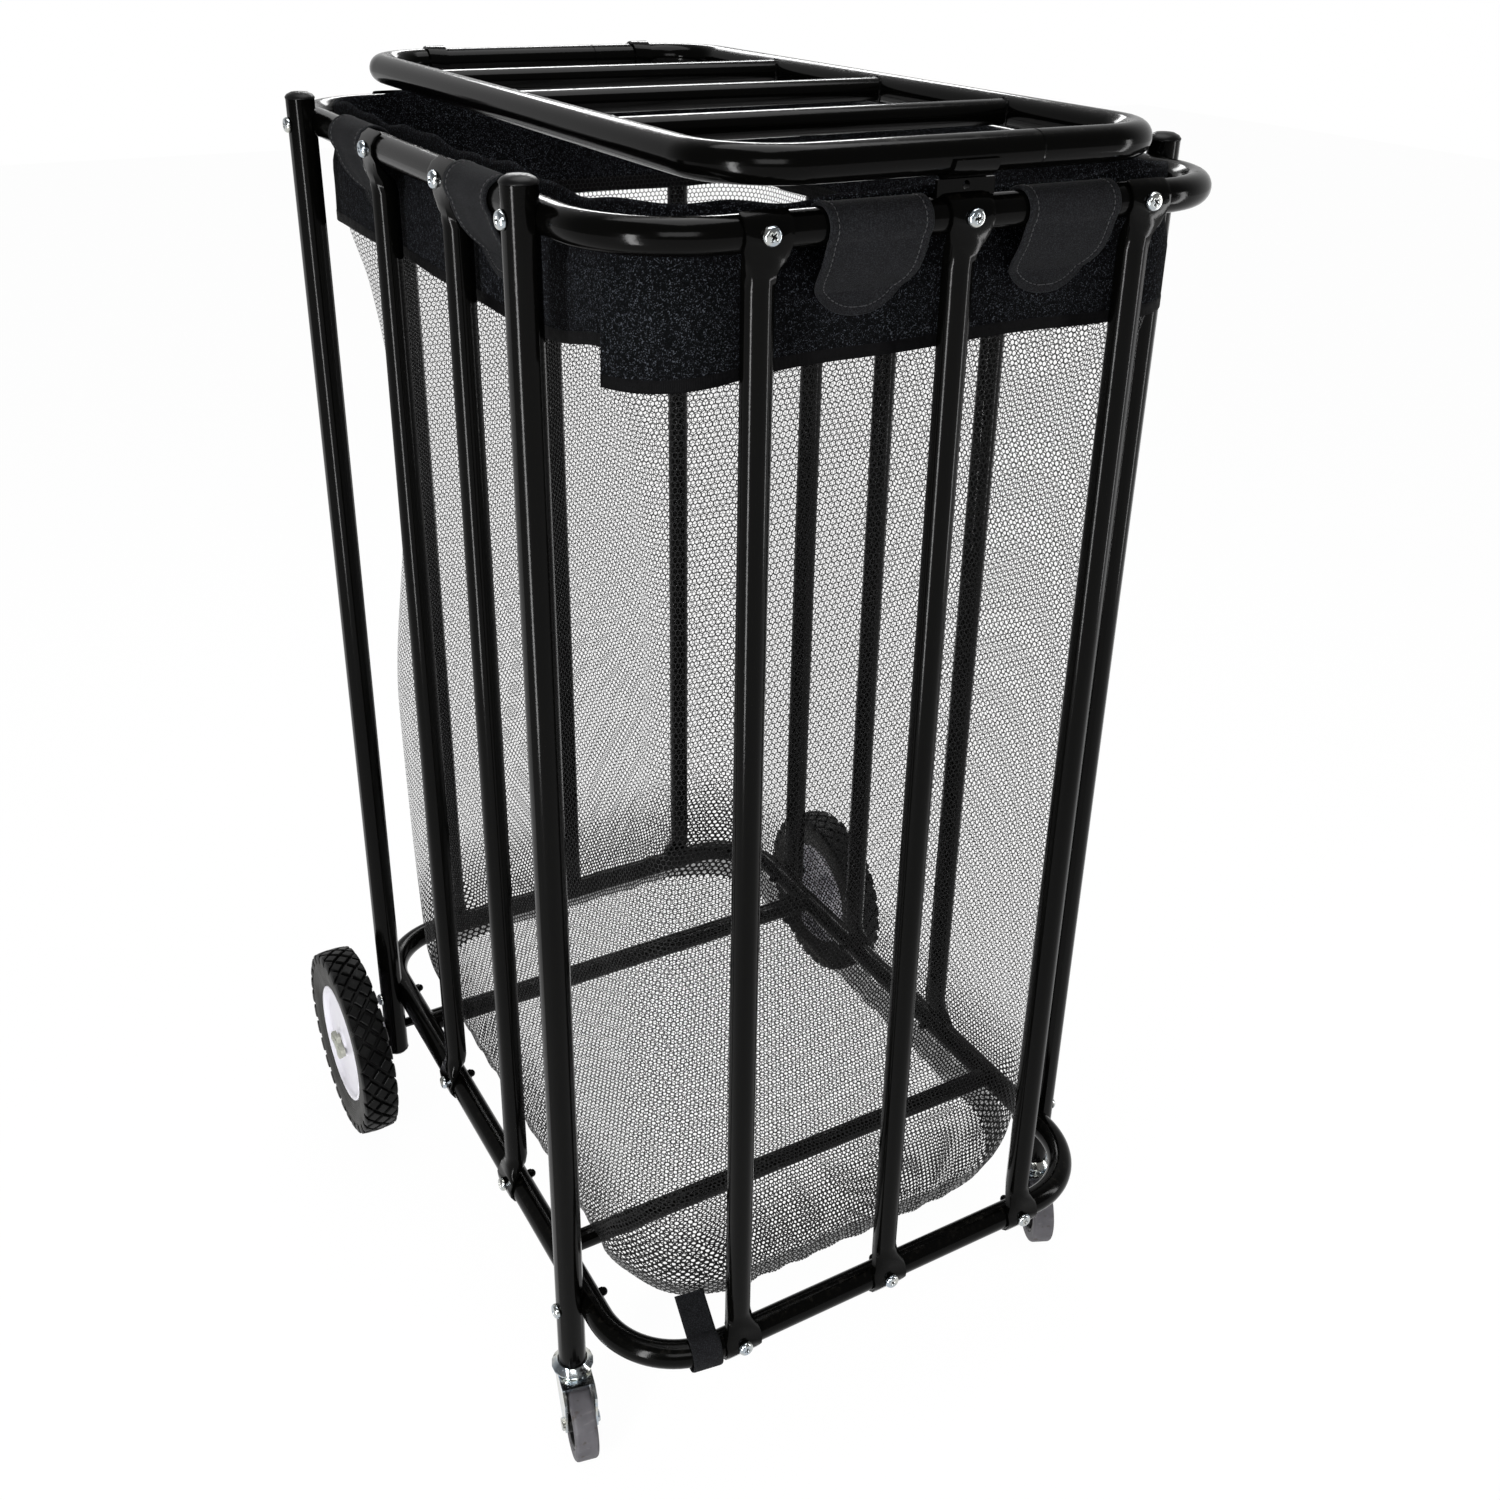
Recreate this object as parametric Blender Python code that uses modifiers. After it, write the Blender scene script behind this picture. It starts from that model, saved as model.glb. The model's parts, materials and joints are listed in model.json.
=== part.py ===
"""Rolling ball locker.

A cage of black tube stands on two large wheels at the rear (+Y) and two swivel
casters at the front (-Y). A net bag hangs in the cage from a plush band, and a
barred lid pivots on the rear tube of the top ring. Metres, +Z up, the floor at
z = 0 and the origin under the middle of the cage.
"""
import math

import bmesh
import bpy
from mathutils import Matrix, Vector

OBJECT_NAME = "ball_locker"

# Cage: two rounded rings of tube, one above the other
RING_WIDTH = 0.562
RING_LENGTH = 0.787
RING_BEND = 0.085
RING_TUBE = 0.027
TOP_RING_HEIGHT = 1.230
BOTTOM_RING_HEIGHT = 0.166
SPIGOT_LENGTH = 0.030
TUBE_WALL = 0.0015

# Legs and uprights
LEG_TUBE = 0.028
LEG_OFFSET = 0.020
LEG_INSET = 0.1129
LEG_TOP = 1.254
FRONT_LEG_BOTTOM = 0.093
REAR_LEG_BOTTOM = 0.086
UPRIGHT_TUBE = 0.025
UPRIGHT_SPACING = 0.172
SADDLE_WIDTH = 0.039
SADDLE_THICKNESS = 0.003
SADDLE_SWELL = 0.024
CROSS_TUBE = 0.022
CROSS_TUBE_SPACING = 0.414

# Fasteners and end caps
SCREW_HEAD = 0.014
SCREW_HEAD_HEIGHT = 0.0035
SCREW_HEAD_EDGE = 0.002
CAP_NUT = 0.010
CAP_NUT_HEIGHT = 0.008
CAP_NUT_EDGE = 0.003
FASTENER_ROOT = 0.0015
CAP_SPIGOT = 0.010
CAP_FLANGE = 0.0288
CAP_DOME = 0.007

# Lid
LID_WIDTH = 0.394
LID_BEND = 0.065
LID_TUBE = 0.028
LID_RISE = 0.043
LID_BAR_TUBE = 0.022
LID_BAR_COUNT = 3
CLIP_THICKNESS = 0.0025
HINGE_CLIP_WIDTH = 0.020
HINGE_CLIP_INSET = 0.0105
CLIP_WEB = 0.006
RIVET = 0.008
RIVET_REACH = 0.0025
LATCH_BRACKET_WIDTH = 0.052
LATCH_PLATE_WIDTH = 0.040
LATCH_THICKNESS = 0.003
LATCH_HOLE = 0.0064
LATCH_LUG_ANGLE = 150.0
CLIP_LIP_ANGLE = 8.0

# Large wheels and their axle
WHEEL_DIAMETER = 0.2366
WHEEL_WIDTH = 0.043
WHEEL_TRACK = 0.7118
RIM_DIAMETER = 0.150
RIM_WIDTH = 0.035
RIM_FACE = 0.014
RIM_WEB = 0.005
HUB_DIAMETER = 0.034
HUB_OUTER = 0.016
HUB_FILLET = 0.002
RIM_LIP = 0.006
RIM_FILLET = 0.003
TYRE_CROWN = 0.009
AXLE_DIAMETER = 0.012
HUB_CAP_DIAMETER = 0.030
HUB_CAP_HEIGHT = 0.007
HUB_CAP_EDGE = 0.002

# Casters
CASTER_DIAMETER = 0.076
CASTER_WIDTH = 0.024
CASTER_CORE = 0.052
CASTER_WEB = 0.008
CASTER_BOSS = 0.018
CASTER_RIM = 0.003
TREAD_CROWN = 0.003
CASTER_TRAIL = 0.032
CASTER_TURN_LEFT = 12.0
CASTER_TURN_RIGHT = 25.0
STEM_LENGTH = 0.040
STEM_COLLAR = 0.003
STEM_COLLAR_DROP = 0.002
RACE_SHOULDER = 0.0055
RACE_EDGE = 0.0015
LOWER_RACE_STEP = 0.002
RACE_DIAMETER = 0.043
UPPER_RACE_HEIGHT = 0.0085
LOWER_RACE_HEIGHT = 0.0046
KING_PIN = 0.010
KING_PIN_HEAD = 0.016
KING_PIN_HEAD_HEIGHT = 0.0028
FORK_GAUGE = 0.0025
FORK_CROWN = 0.003
CROWN_INSET = 0.0006
FORK_HALF_GAP = 0.0143
FORK_REAR = 0.014
FORK_NOSE = 0.002
CHEEK_NOSE_DROP = 0.008
CHEEK_HEEL_DROP = 0.012
FORK_EYE = 0.018
CASTER_BOLT = 0.008
BOLT_HEAD = 0.013
BOLT_HEAD_HEIGHT = 0.003
BOLT_HEAD_EDGE = 0.001

# Bag, band, tabs and strap
BAND_INSET = 0.0222
BAND_TOP = 1.243
BAND_BOTTOM = 1.125
BAND_THICKNESS = 0.004
BAG_TOP = 1.140
BAG_BOTTOM = 0.1835
BAG_SAG = 0.003
BAG_THICKNESS = 0.003
# The bag's shape from its top down: share of its depth, how far it lies inside its top edge, how much
# rounder its corners are, and how far it leans towards the strap's corner
BAG_SHAPE = ((0.0, 0.0, 0.0, 0.0), (0.10, 0.011, 0.0, 0.0), (0.39, 0.0, 0.0, 0.0), (0.67, 0.002, 0.005, 0.0),
             (0.88, 0.004, 0.015, 0.0), (0.965, 0.007, 0.050, 0.010), (1.0, 0.022, 0.070, 0.016))
TAB_WIDTH = 0.088
TAB_THICKNESS = 0.003
TAB_INNER_DROP = 0.018
TAB_OUTER_DROP = 0.080
TAB_END_RADIUS = 0.036
TAB_END_SHAPE = ((0.75, 0.04), (0.35, 0.24), (0.10, 0.56), (0.0, 1.0))
TAB_FALL_ANGLE = 40.0
TAB_LANDING = 0.003
FRONT_TAB_SPACING = 0.176
REAR_TAB_SPACING = 0.132
SIDE_TAB_SPACING = 0.324
STRAP_WIDTH = 0.030
STRAP_THICKNESS = 0.002
STRAP_GAP = 0.0008
STRAP_ANGLE = 9.0
STRAP_RISE = 0.034
STRAP_LEAVE_ANGLE = 112.0
STRAP_END_ANGLE = -165.0

# Clearances
GAP = 0.0003
SADDLE_GAP = 0.0005
TAB_GAP = 0.0006
RUNNING_GAP = 0.0004
SPIGOT_GAP = 0.0005
HINGE_GAP = 0.0005

# How finely round shapes are drawn
TUBE_SIDES = 12
BEND_STEPS = 6
UPRIGHT_SIDES = 10
FASTENER_SIDES = 8
WHEEL_SIDES = 24
SMALL_SIDES = 16

# Sizes that follow
RING_R = RING_TUBE / 2
LEG_R = LEG_TUBE / 2
LID_R = LID_TUBE / 2
LEG_X = RING_WIDTH / 2 + LEG_OFFSET
LEG_Y = RING_LENGTH / 2 - LEG_INSET
SIDE_STEP = LEG_Y * 2 / 3
LEG_BORE_R = LEG_R - TUBE_WALL
LID_LENGTH = RING_LENGTH
LID_HEIGHT = TOP_RING_HEIGHT + LID_RISE
HINGE_CLIP_SPACING = LID_WIDTH - 2 * (LID_BEND + HINGE_CLIP_INSET)
AXLE_HEIGHT = WHEEL_DIAMETER / 2
CASTER_R = CASTER_DIAMETER / 2
PIVOT = Vector((0.0, RING_LENGTH / 2, TOP_RING_HEIGHT))
UP = Vector((0.0, 0.0, 1.0))

MATERIALS = {
    "black_powder_coat": ((0.010, 0.010, 0.011), 0.28, 0.0),
    "black_plastic": ((0.012, 0.012, 0.012), 0.45, 0.0),
    "zinc_steel": ((0.62, 0.63, 0.64), 0.28, 1.0),
    "tyre_rubber": ((0.022, 0.022, 0.022), 0.80, 0.0),
    "white_plastic": ((0.78, 0.77, 0.80), 0.40, 0.0),
    "grey_plastic": ((0.30, 0.32, 0.30), 0.50, 0.0),
    "grey_rubber": ((0.16, 0.15, 0.17), 0.65, 0.0),
    "black_net": ((0.012, 0.012, 0.013), 0.75, 0.0),
    "black_plush": ((0.008, 0.008, 0.009), 0.95, 0.0),
    "black_webbing": ((0.016, 0.016, 0.018), 0.80, 0.0),
}


# Scene helpers

def clear_scene():
    for obj in list(bpy.data.objects):
        bpy.data.objects.remove(obj, do_unlink=True)


def make_collection(name):
    collection = bpy.data.collections.new(name)
    bpy.context.scene.collection.children.link(collection)
    return collection


def get_material(name):
    material = bpy.data.materials.get(name)
    if material is None:
        colour, roughness, metallic = MATERIALS[name]
        material = bpy.data.materials.new(name)
        material.use_nodes = True
        shader = material.node_tree.nodes["Principled BSDF"]
        shader.inputs["Base Color"].default_value = (*colour, 1.0)
        shader.inputs["Roughness"].default_value = roughness
        shader.inputs["Metallic"].default_value = metallic
    return material


def add_object(name, data, material, place=None, parent=None, smooth=True):
    """Links a new part; place is its world matrix."""
    obj = bpy.data.objects.new(name, data)
    PARTS.objects.link(obj)
    data.materials.append(get_material(material))
    if smooth and isinstance(data, bpy.types.Mesh):
        data.shade_smooth()
        data.set_sharp_from_angle(angle=math.radians(40))
    if parent is not None:
        obj.parent = parent
        obj.matrix_parent_inverse = parent.matrix_world.inverted()
    if place is not None:
        obj.matrix_world = place
    bpy.context.view_layer.update()
    return obj


def add_pivot(name, location):
    """An empty on a joint's axis, which the moving pieces are parented to."""
    empty = bpy.data.objects.new(name, None)
    empty.location = location
    empty.empty_display_size = 0.05
    PARTS.objects.link(empty)
    bpy.context.view_layer.update()
    return empty


def add_tool(name, bm, owner):
    """Keeps a cutting or joining solid in the cutters collection."""
    mesh = bpy.data.meshes.new(name)
    bmesh.ops.recalc_face_normals(bm, faces=bm.faces)
    bm.to_mesh(mesh)
    bm.free()
    tool = bpy.data.objects.new(name, mesh)
    tool.hide_render = True
    tool.display_type = "WIRE"
    CUTTERS.objects.link(tool)
    if owner.parent is not None:
        tool.parent = owner.parent
        tool.matrix_parent_inverse = owner.parent.matrix_world.inverted()
    return tool


def boolean(obj, bm, operation):
    """Cuts from obj, or joins to it, the solids in bm, given in world space."""
    tool = add_tool(f"{obj.name}_{operation.lower()}_{len(obj.modifiers)}", bm, obj)
    modifier = obj.modifiers.new(tool.name, "BOOLEAN")
    modifier.operation = operation
    modifier.solver = "EXACT"
    modifier.object = tool
    return obj


# Shape helpers

def move_to(point):
    return Matrix.Translation(Vector(point))


def aim(point, direction):
    """A matrix at point whose Z axis runs along direction."""
    turn = UP.rotation_difference(Vector(direction).normalized()).to_matrix().to_4x4()
    return move_to(point) @ turn


def turn_z(degrees):
    return Matrix.Rotation(math.radians(degrees), 4, "Z")


def add_cylinder(bm, radius, start, end, sides):
    """A solid cylinder between two points."""
    start = Vector(start)
    end = Vector(end)
    length = (end - start).length
    middle = aim((start + end) / 2, end - start)
    return bmesh.ops.create_cone(bm, cap_ends=True, segments=sides, radius1=radius, radius2=radius,
                                 depth=length, matrix=middle)["verts"]


def add_peg(bm, radius, height, edge, root, point, direction):
    """A short round head standing on point, its far rim rounded; root sinks below."""
    start = Vector(point) - Vector(direction) * root
    end = Vector(point) + Vector(direction) * height
    verts = add_cylinder(bm, radius, start, end, FASTENER_SIDES)
    rim = [edge_ for edge_ in {e for v in verts for e in v.link_edges}
           if all(abs((v.co - end).dot(Vector(direction))) < 1e-6 for v in edge_.verts)]
    bmesh.ops.bevel(bm, geom=rim, offset=edge, offset_type="OFFSET", segments=1, profile=0.5,
                    affect="EDGES")


def mesh_from(name, bm):
    bmesh.ops.recalc_face_normals(bm, faces=bm.faces)
    mesh = bpy.data.meshes.new(name)
    bm.to_mesh(mesh)
    bm.free()
    return mesh


def rounded_corner(centre, radius, start_angle, steps):
    """Points of a quarter circle in plan, from start_angle on, anticlockwise."""
    points = []
    for step in range(steps + 1):
        angle = math.radians(start_angle + 90.0 * step / steps)
        points.append(Vector((centre[0] + radius * math.cos(angle), centre[1] + radius * math.sin(angle), 0.0)))
    return points


def rounded_rectangle(width, length, bend, steps):
    """Plan outline, anticlockwise, that starts at the left end of the front side."""
    x = width / 2 - bend
    y = length / 2 - bend
    points = []
    for centre, angle in (((-x, -y), 180.0), ((x, -y), 270.0), ((x, y), 0.0), ((-x, y), 90.0)):
        points += rounded_corner(centre, bend, angle, steps)
    return points


def half_ring(width, length, bend, steps, seam_gap):
    """Plan path of the front half of a ring, from its left seam to its right one."""
    corners = rounded_rectangle(width, length, bend, steps)[:2 * (steps + 1)]
    left = Vector((-width / 2, -seam_gap / 2, 0.0))
    right = Vector((width / 2, -seam_gap / 2, 0.0))
    return [left] + corners + [right]


def tube(name, points, radius, material, place, parent=None, closed=False):
    """A round bar along the points, as a welded mesh."""
    curve = bpy.data.curves.new(name, "CURVE")
    curve.dimensions = "3D"
    curve.bevel_depth = radius
    curve.bevel_resolution = TUBE_SIDES // 2 - 2
    curve.use_fill_caps = not closed
    spline = curve.splines.new("POLY")
    spline.points.add(len(points) - 1)
    for point, position in zip(spline.points, points):
        point.co = (*position, 1.0)
    spline.use_cyclic_u = closed
    guide = bpy.data.objects.new(name + "_curve", curve)
    bpy.context.scene.collection.objects.link(guide)
    graph = bpy.context.evaluated_depsgraph_get()
    mesh = bpy.data.meshes.new_from_object(guide.evaluated_get(graph))
    mesh.name = name
    bm = bmesh.new()
    bm.from_mesh(mesh)
    bmesh.ops.remove_doubles(bm, verts=bm.verts, dist=0.00005)
    bmesh.ops.recalc_face_normals(bm, faces=bm.faces)
    bm.to_mesh(mesh)
    bm.free()
    bpy.data.objects.remove(guide, do_unlink=True)
    bpy.data.curves.remove(curve)
    return add_object(name, mesh, material, place, parent)


def turned(name, profile, material, place, sides, parent=None):
    """A turned piece: profile points (radius, height) run down its outer side."""
    mesh = bpy.data.meshes.new(name)
    points = [(radius, 0.0, height) for radius, height in profile]
    edges = [(i, i + 1) for i in range(len(points) - 1)]
    if profile[0][0] > 0.0:
        edges.append((len(points) - 1, 0))
    mesh.from_pydata(points, edges, [])
    obj = add_object(name, mesh, material, place, parent, smooth=False)
    screw = obj.modifiers.new("turn", "SCREW")
    screw.steps = sides
    screw.render_steps = sides
    screw.use_merge_vertices = True
    screw.merge_threshold = 0.00002
    screw.use_smooth_shade = False
    return obj


def extruded(name, outlines, thickness, material, place, parent=None):
    """A flat outline with holes, in its own XY plane, thickened evenly along Z."""
    curve = bpy.data.curves.new(name, "CURVE")
    curve.dimensions = "2D"
    curve.fill_mode = "BOTH"
    curve.extrude = thickness / 2
    for outline in outlines:
        spline = curve.splines.new("POLY")
        spline.points.add(len(outline) - 1)
        for point, position in zip(spline.points, outline):
            point.co = (position[0], position[1], 0.0, 1.0)
        spline.use_cyclic_u = True
    guide = bpy.data.objects.new(name + "_outline", curve)
    bpy.context.scene.collection.objects.link(guide)
    graph = bpy.context.evaluated_depsgraph_get()
    mesh = bpy.data.meshes.new_from_object(guide.evaluated_get(graph))
    mesh.name = name
    bm = bmesh.new()
    bm.from_mesh(mesh)
    bmesh.ops.remove_doubles(bm, verts=bm.verts, dist=0.00002)
    bmesh.ops.recalc_face_normals(bm, faces=bm.faces)
    bm.to_mesh(mesh)
    bm.free()
    bpy.data.objects.remove(guide, do_unlink=True)
    bpy.data.curves.remove(curve)
    return add_object(name, mesh, material, place, parent)


def loft(name, sections, material, place, parent=None):
    """A solid through unlike sections that have the same number of points."""
    bm = bmesh.new()
    rings = [[bm.verts.new(point) for point in section] for section in sections]
    count = len(sections[0])
    for lower, upper in zip(rings, rings[1:]):
        for i in range(count):
            j = (i + 1) % count
            bm.faces.new((lower[i], lower[j], upper[j], upper[i]))
    bm.faces.new(list(reversed(rings[0])))
    bm.faces.new(rings[-1])
    return add_object(name, mesh_from(name, bm), material, place, parent)


def arc(radius, start, end, steps, centre=(0.0, 0.0)):
    """Flat arc from start to end degrees."""
    points = []
    for step in range(steps + 1):
        angle = math.radians(start + (end - start) * step / steps)
        points.append((centre[0] + radius * math.cos(angle), centre[1] + radius * math.sin(angle)))
    return points


# Rings

def ring_fixings():
    """Ring points (x, y) with their outward directions, for every screw in a ring."""
    x = RING_WIDTH / 2
    y = RING_LENGTH / 2
    places = []
    for side in (-1, 1):
        for column in (-1, 0, 1):
            places.append((Vector((column * UPRIGHT_SPACING, side * y, 0.0)), Vector((0.0, side, 0.0))))
        for row in range(4):
            along = -LEG_Y + row * SIDE_STEP
            places.append((Vector((side * x, along, 0.0)), Vector((side, 0.0, 0.0))))
    return places


def build_ring(level, height):
    """Two U-shaped halves; the front half's ends plug into the rear half."""
    path = half_ring(RING_WIDTH, RING_LENGTH, RING_BEND, BEND_STEPS, GAP)
    spigot_r = RING_R - TUBE_WALL - SPIGOT_GAP
    bore_r = RING_R - TUBE_WALL
    for half, side in (("front", 1), ("rear", -1)):
        place = move_to((0.0, 0.0, height)) @ turn_z(0.0 if side == 1 else 180.0)
        name = f"{level}_ring_{half}_half"
        ring = tube(name, path, RING_R, "black_powder_coat", place)
        ends = bmesh.new()
        for end in (-1, 1):
            seam = Vector((end * RING_WIDTH / 2, 0.0, height))
            if half == "front":
                add_cylinder(ends, spigot_r, seam - Vector((0.0, SPIGOT_LENGTH / 2, 0.0)),
                             seam + Vector((0.0, SPIGOT_LENGTH, 0.0)), TUBE_SIDES)
            else:
                add_cylinder(ends, bore_r, seam - Vector((0.0, SPIGOT_LENGTH / 2, 0.0)),
                             seam + Vector((0.0, SPIGOT_LENGTH + GAP, 0.0)), TUBE_SIDES)
        boolean(ring, ends, "UNION" if half == "front" else "DIFFERENCE")
        nuts = bmesh.new()
        for point, outward in ring_fixings():
            if point.y * side < 0.0:
                seat = point + Vector((0.0, 0.0, height)) - outward * RING_R
                add_peg(nuts, CAP_NUT / 2, CAP_NUT_HEIGHT, CAP_NUT_EDGE, FASTENER_ROOT, seat, -outward)
        boolean(ring, nuts, "UNION")


def build_cross_tubes():
    """Two tubes across the bottom ring that carry the bag."""
    for name, side in (("front", -1), ("rear", 1)):
        y = side * CROSS_TUBE_SPACING / 2
        bm = bmesh.new()
        reach = RING_WIDTH / 2
        add_cylinder(bm, CROSS_TUBE / 2, (-reach, y, BOTTOM_RING_HEIGHT), (reach, y, BOTTOM_RING_HEIGHT),
                     TUBE_SIDES)
        bar = add_object(f"bottom_cross_tube_{name}", mesh_from("cross_tube", bm), "black_powder_coat")
        cope = bmesh.new()
        for x in (-reach, reach):
            add_cylinder(cope, RING_R + GAP, (x, y - RING_TUBE, BOTTOM_RING_HEIGHT),
                         (x, y + RING_TUBE, BOTTOM_RING_HEIGHT), TUBE_SIDES * 2)
        boolean(bar, cope, "DIFFERENCE")


# Uprights

def saddle_sections():
    """Half sections of an upright's top end, about the ring's centre.

    Each is (inner point, outer point, half width, squareness); a point is
    (outward, up). The round tube swells under the ring, flattens and wraps the
    ring's outer side.
    """
    tube_r = UPRIGHT_TUBE / 2
    inner = RING_R + SADDLE_GAP
    outer = inner + SADDLE_THICKNESS
    wide = SADDLE_WIDTH / 2
    start = -(inner + SADDLE_SWELL)
    sections = [((-tube_r, start), (tube_r, start), tube_r, 2.0)]
    for share, flat, exponent in ((0.45, 0.16, 2.3), (0.80, 0.60, 3.2)):
        height = start + SADDLE_SWELL * share
        inner_point = (-tube_r + (inner * 0.55 + tube_r) * flat, height - SADDLE_SWELL * 0.1 * flat)
        outer_point = (tube_r + (outer - tube_r) * flat * 0.9, height)
        sections.append((inner_point, outer_point, tube_r + (wide - tube_r) * flat, exponent))
    for angle in (-36.0, -10.0, 17.0, 44.0, 70.0):
        cosine = math.cos(math.radians(angle))
        sine = math.sin(math.radians(angle))
        sections.append(((inner * cosine, inner * sine), (outer * cosine, outer * sine), wide, 5.0))
    return sections


def section_points(inner, outer, half_width, exponent):
    """A rounded section between two points of the outward and up plane."""
    middle = (Vector(inner) + Vector(outer)) / 2
    half = (Vector(outer) - Vector(inner)) / 2
    points = []
    for i in range(UPRIGHT_SIDES):
        angle = 2 * math.pi * (i + 0.5) / UPRIGHT_SIDES
        across = math.copysign(abs(math.cos(angle)) ** (2 / exponent), math.cos(angle)) * half_width
        depth = math.copysign(abs(math.sin(angle)) ** (2 / exponent), math.sin(angle))
        point = middle + half * depth
        points.append(Vector((across, -point.x, point.y)))
    return points


def build_upright(name, position, degrees):
    """One upright, whose own -Y side faces out of the cage."""
    top = [section_points(*section) for section in saddle_sections()]
    bottom = [[Vector((p.x, p.y, -p.z)) for p in section] for section in reversed(top)]
    sections = [[p + UP * BOTTOM_RING_HEIGHT for p in section] for section in bottom]
    sections += [[p + UP * TOP_RING_HEIGHT for p in section] for section in top]
    place = move_to(position) @ turn_z(degrees)
    upright = loft(name, sections, "black_powder_coat", place)
    heads = bmesh.new()
    outward = place.to_3x3() @ Vector((0.0, -1.0, 0.0))
    for height in (BOTTOM_RING_HEIGHT, TOP_RING_HEIGHT):
        seat = Vector(position) + UP * height + outward * (RING_R + SADDLE_GAP + SADDLE_THICKNESS)
        add_peg(heads, SCREW_HEAD / 2, SCREW_HEAD_HEIGHT, SCREW_HEAD_EDGE, FASTENER_ROOT, seat, outward)
    boolean(upright, heads, "UNION")


def build_uprights():
    x = RING_WIDTH / 2
    y = RING_LENGTH / 2
    for column, label in ((-1, "left"), (0, "middle"), (1, "right")):
        build_upright(f"upright_front_{label}", (column * UPRIGHT_SPACING, -y, 0.0), 0.0)
        build_upright(f"upright_rear_{label}", (column * UPRIGHT_SPACING, y, 0.0), 180.0)
    for row, label in ((-1, "front"), (1, "rear")):
        build_upright(f"upright_left_{label}", (-x, row * SIDE_STEP / 2, 0.0), -90.0)
        build_upright(f"upright_right_{label}", (x, row * SIDE_STEP / 2, 0.0), 90.0)


# Legs and their caps

def build_leg(name, side, end):
    """A leg beside the rings, hollowed where it bears on them."""
    x = side * LEG_X
    y = end * LEG_Y
    bottom = FRONT_LEG_BOTTOM if end < 0 else REAR_LEG_BOTTOM
    bm = bmesh.new()
    add_cylinder(bm, LEG_R, (x, y, bottom), (x, y, LEG_TOP), SMALL_SIDES)
    leg = add_object(name, mesh_from(name, bm), "black_powder_coat")
    bore_depth = CAP_SPIGOT + 2 * GAP
    lower_depth = STEM_LENGTH + 2 * GAP if end < 0 else bore_depth
    cuts = bmesh.new()
    for height in (BOTTOM_RING_HEIGHT, TOP_RING_HEIGHT):
        ring_x = side * RING_WIDTH / 2
        add_cylinder(cuts, RING_R + GAP, (ring_x, y - LEG_TUBE, height), (ring_x, y + LEG_TUBE, height),
                     TUBE_SIDES * 2)
    add_cylinder(cuts, LEG_BORE_R, (x, y, LEG_TOP - bore_depth), (x, y, LEG_TOP + bore_depth), SMALL_SIDES)
    add_cylinder(cuts, LEG_BORE_R, (x, y, bottom - lower_depth), (x, y, bottom + lower_depth), SMALL_SIDES)
    if end > 0:
        add_cylinder(cuts, AXLE_DIAMETER / 2 + GAP, (x - LEG_TUBE, y, AXLE_HEIGHT),
                     (x + LEG_TUBE, y, AXLE_HEIGHT), FASTENER_SIDES)
    boolean(leg, cuts, "DIFFERENCE")
    heads = bmesh.new()
    outward = Vector((side, 0.0, 0.0))
    for height in (BOTTOM_RING_HEIGHT, TOP_RING_HEIGHT):
        seat = Vector((x, y, height)) + outward * LEG_R
        add_peg(heads, SCREW_HEAD / 2, SCREW_HEAD_HEIGHT, SCREW_HEAD_EDGE, FASTENER_ROOT, seat, outward)
    boolean(leg, heads, "UNION")


def build_end_cap(name, place):
    """A domed cap whose spigot plugs into a leg; its own Z points out of the leg."""
    spigot = LEG_BORE_R - SPIGOT_GAP
    flange = CAP_FLANGE / 2
    profile = [(0.0, CAP_DOME), (flange * 0.55, CAP_DOME * 0.9), (flange * 0.86, CAP_DOME * 0.6),
               (flange, CAP_DOME * 0.25), (flange, GAP), (spigot, GAP), (spigot, -CAP_SPIGOT), (0.0, -CAP_SPIGOT)]
    turned(name, profile, "black_plastic", place, SMALL_SIDES)


def build_legs():
    for side, side_name in ((-1, "left"), (1, "right")):
        for end, end_name in ((-1, "front"), (1, "rear")):
            build_leg(f"leg_{end_name}_{side_name}", side, end)
            x = side * LEG_X
            y = end * LEG_Y
            build_end_cap(f"leg_cap_{end_name}_{side_name}", move_to((x, y, LEG_TOP)))
            if end > 0:
                build_end_cap(f"foot_cap_{end_name}_{side_name}", aim((x, y, REAR_LEG_BOTTOM), (0.0, 0.0, -1.0)))


# Lid

def build_lid(pivot):
    path = rounded_rectangle(LID_WIDTH, LID_LENGTH, LID_BEND, BEND_STEPS)
    tube("lid_frame", path, LID_R, "black_powder_coat", move_to((0.0, 0.0, LID_HEIGHT)), pivot, closed=True)
    reach = LID_WIDTH / 2
    step = LID_LENGTH / (LID_BAR_COUNT + 1)
    for index in range(LID_BAR_COUNT):
        y = -LID_LENGTH / 2 + (index + 1) * step
        bm = bmesh.new()
        add_cylinder(bm, LID_BAR_TUBE / 2, (-reach, y, LID_HEIGHT), (reach, y, LID_HEIGHT), TUBE_SIDES)
        bar = add_object(f"lid_bar_{index + 1}", mesh_from("lid_bar", bm), "black_powder_coat", parent=pivot)
        cope = bmesh.new()
        for x in (-reach, reach):
            add_cylinder(cope, LID_R + GAP, (x, y - LID_TUBE, LID_HEIGHT), (x, y + LID_TUBE, LID_HEIGHT),
                         TUBE_SIDES * 2)
        boolean(bar, cope, "DIFFERENCE")


def side_frame(x, end):
    """A frame at the top ring's front or rear tube: X points outward and Y up."""
    axes = Matrix(((0.0, 0.0, end, 0.0), (end, 0.0, 0.0, 0.0), (0.0, 1.0, 0.0, 0.0), (0.0, 0.0, 0.0, 1.0)))
    return move_to((x, end * RING_LENGTH / 2, TOP_RING_HEIGHT)) @ axes


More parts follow.
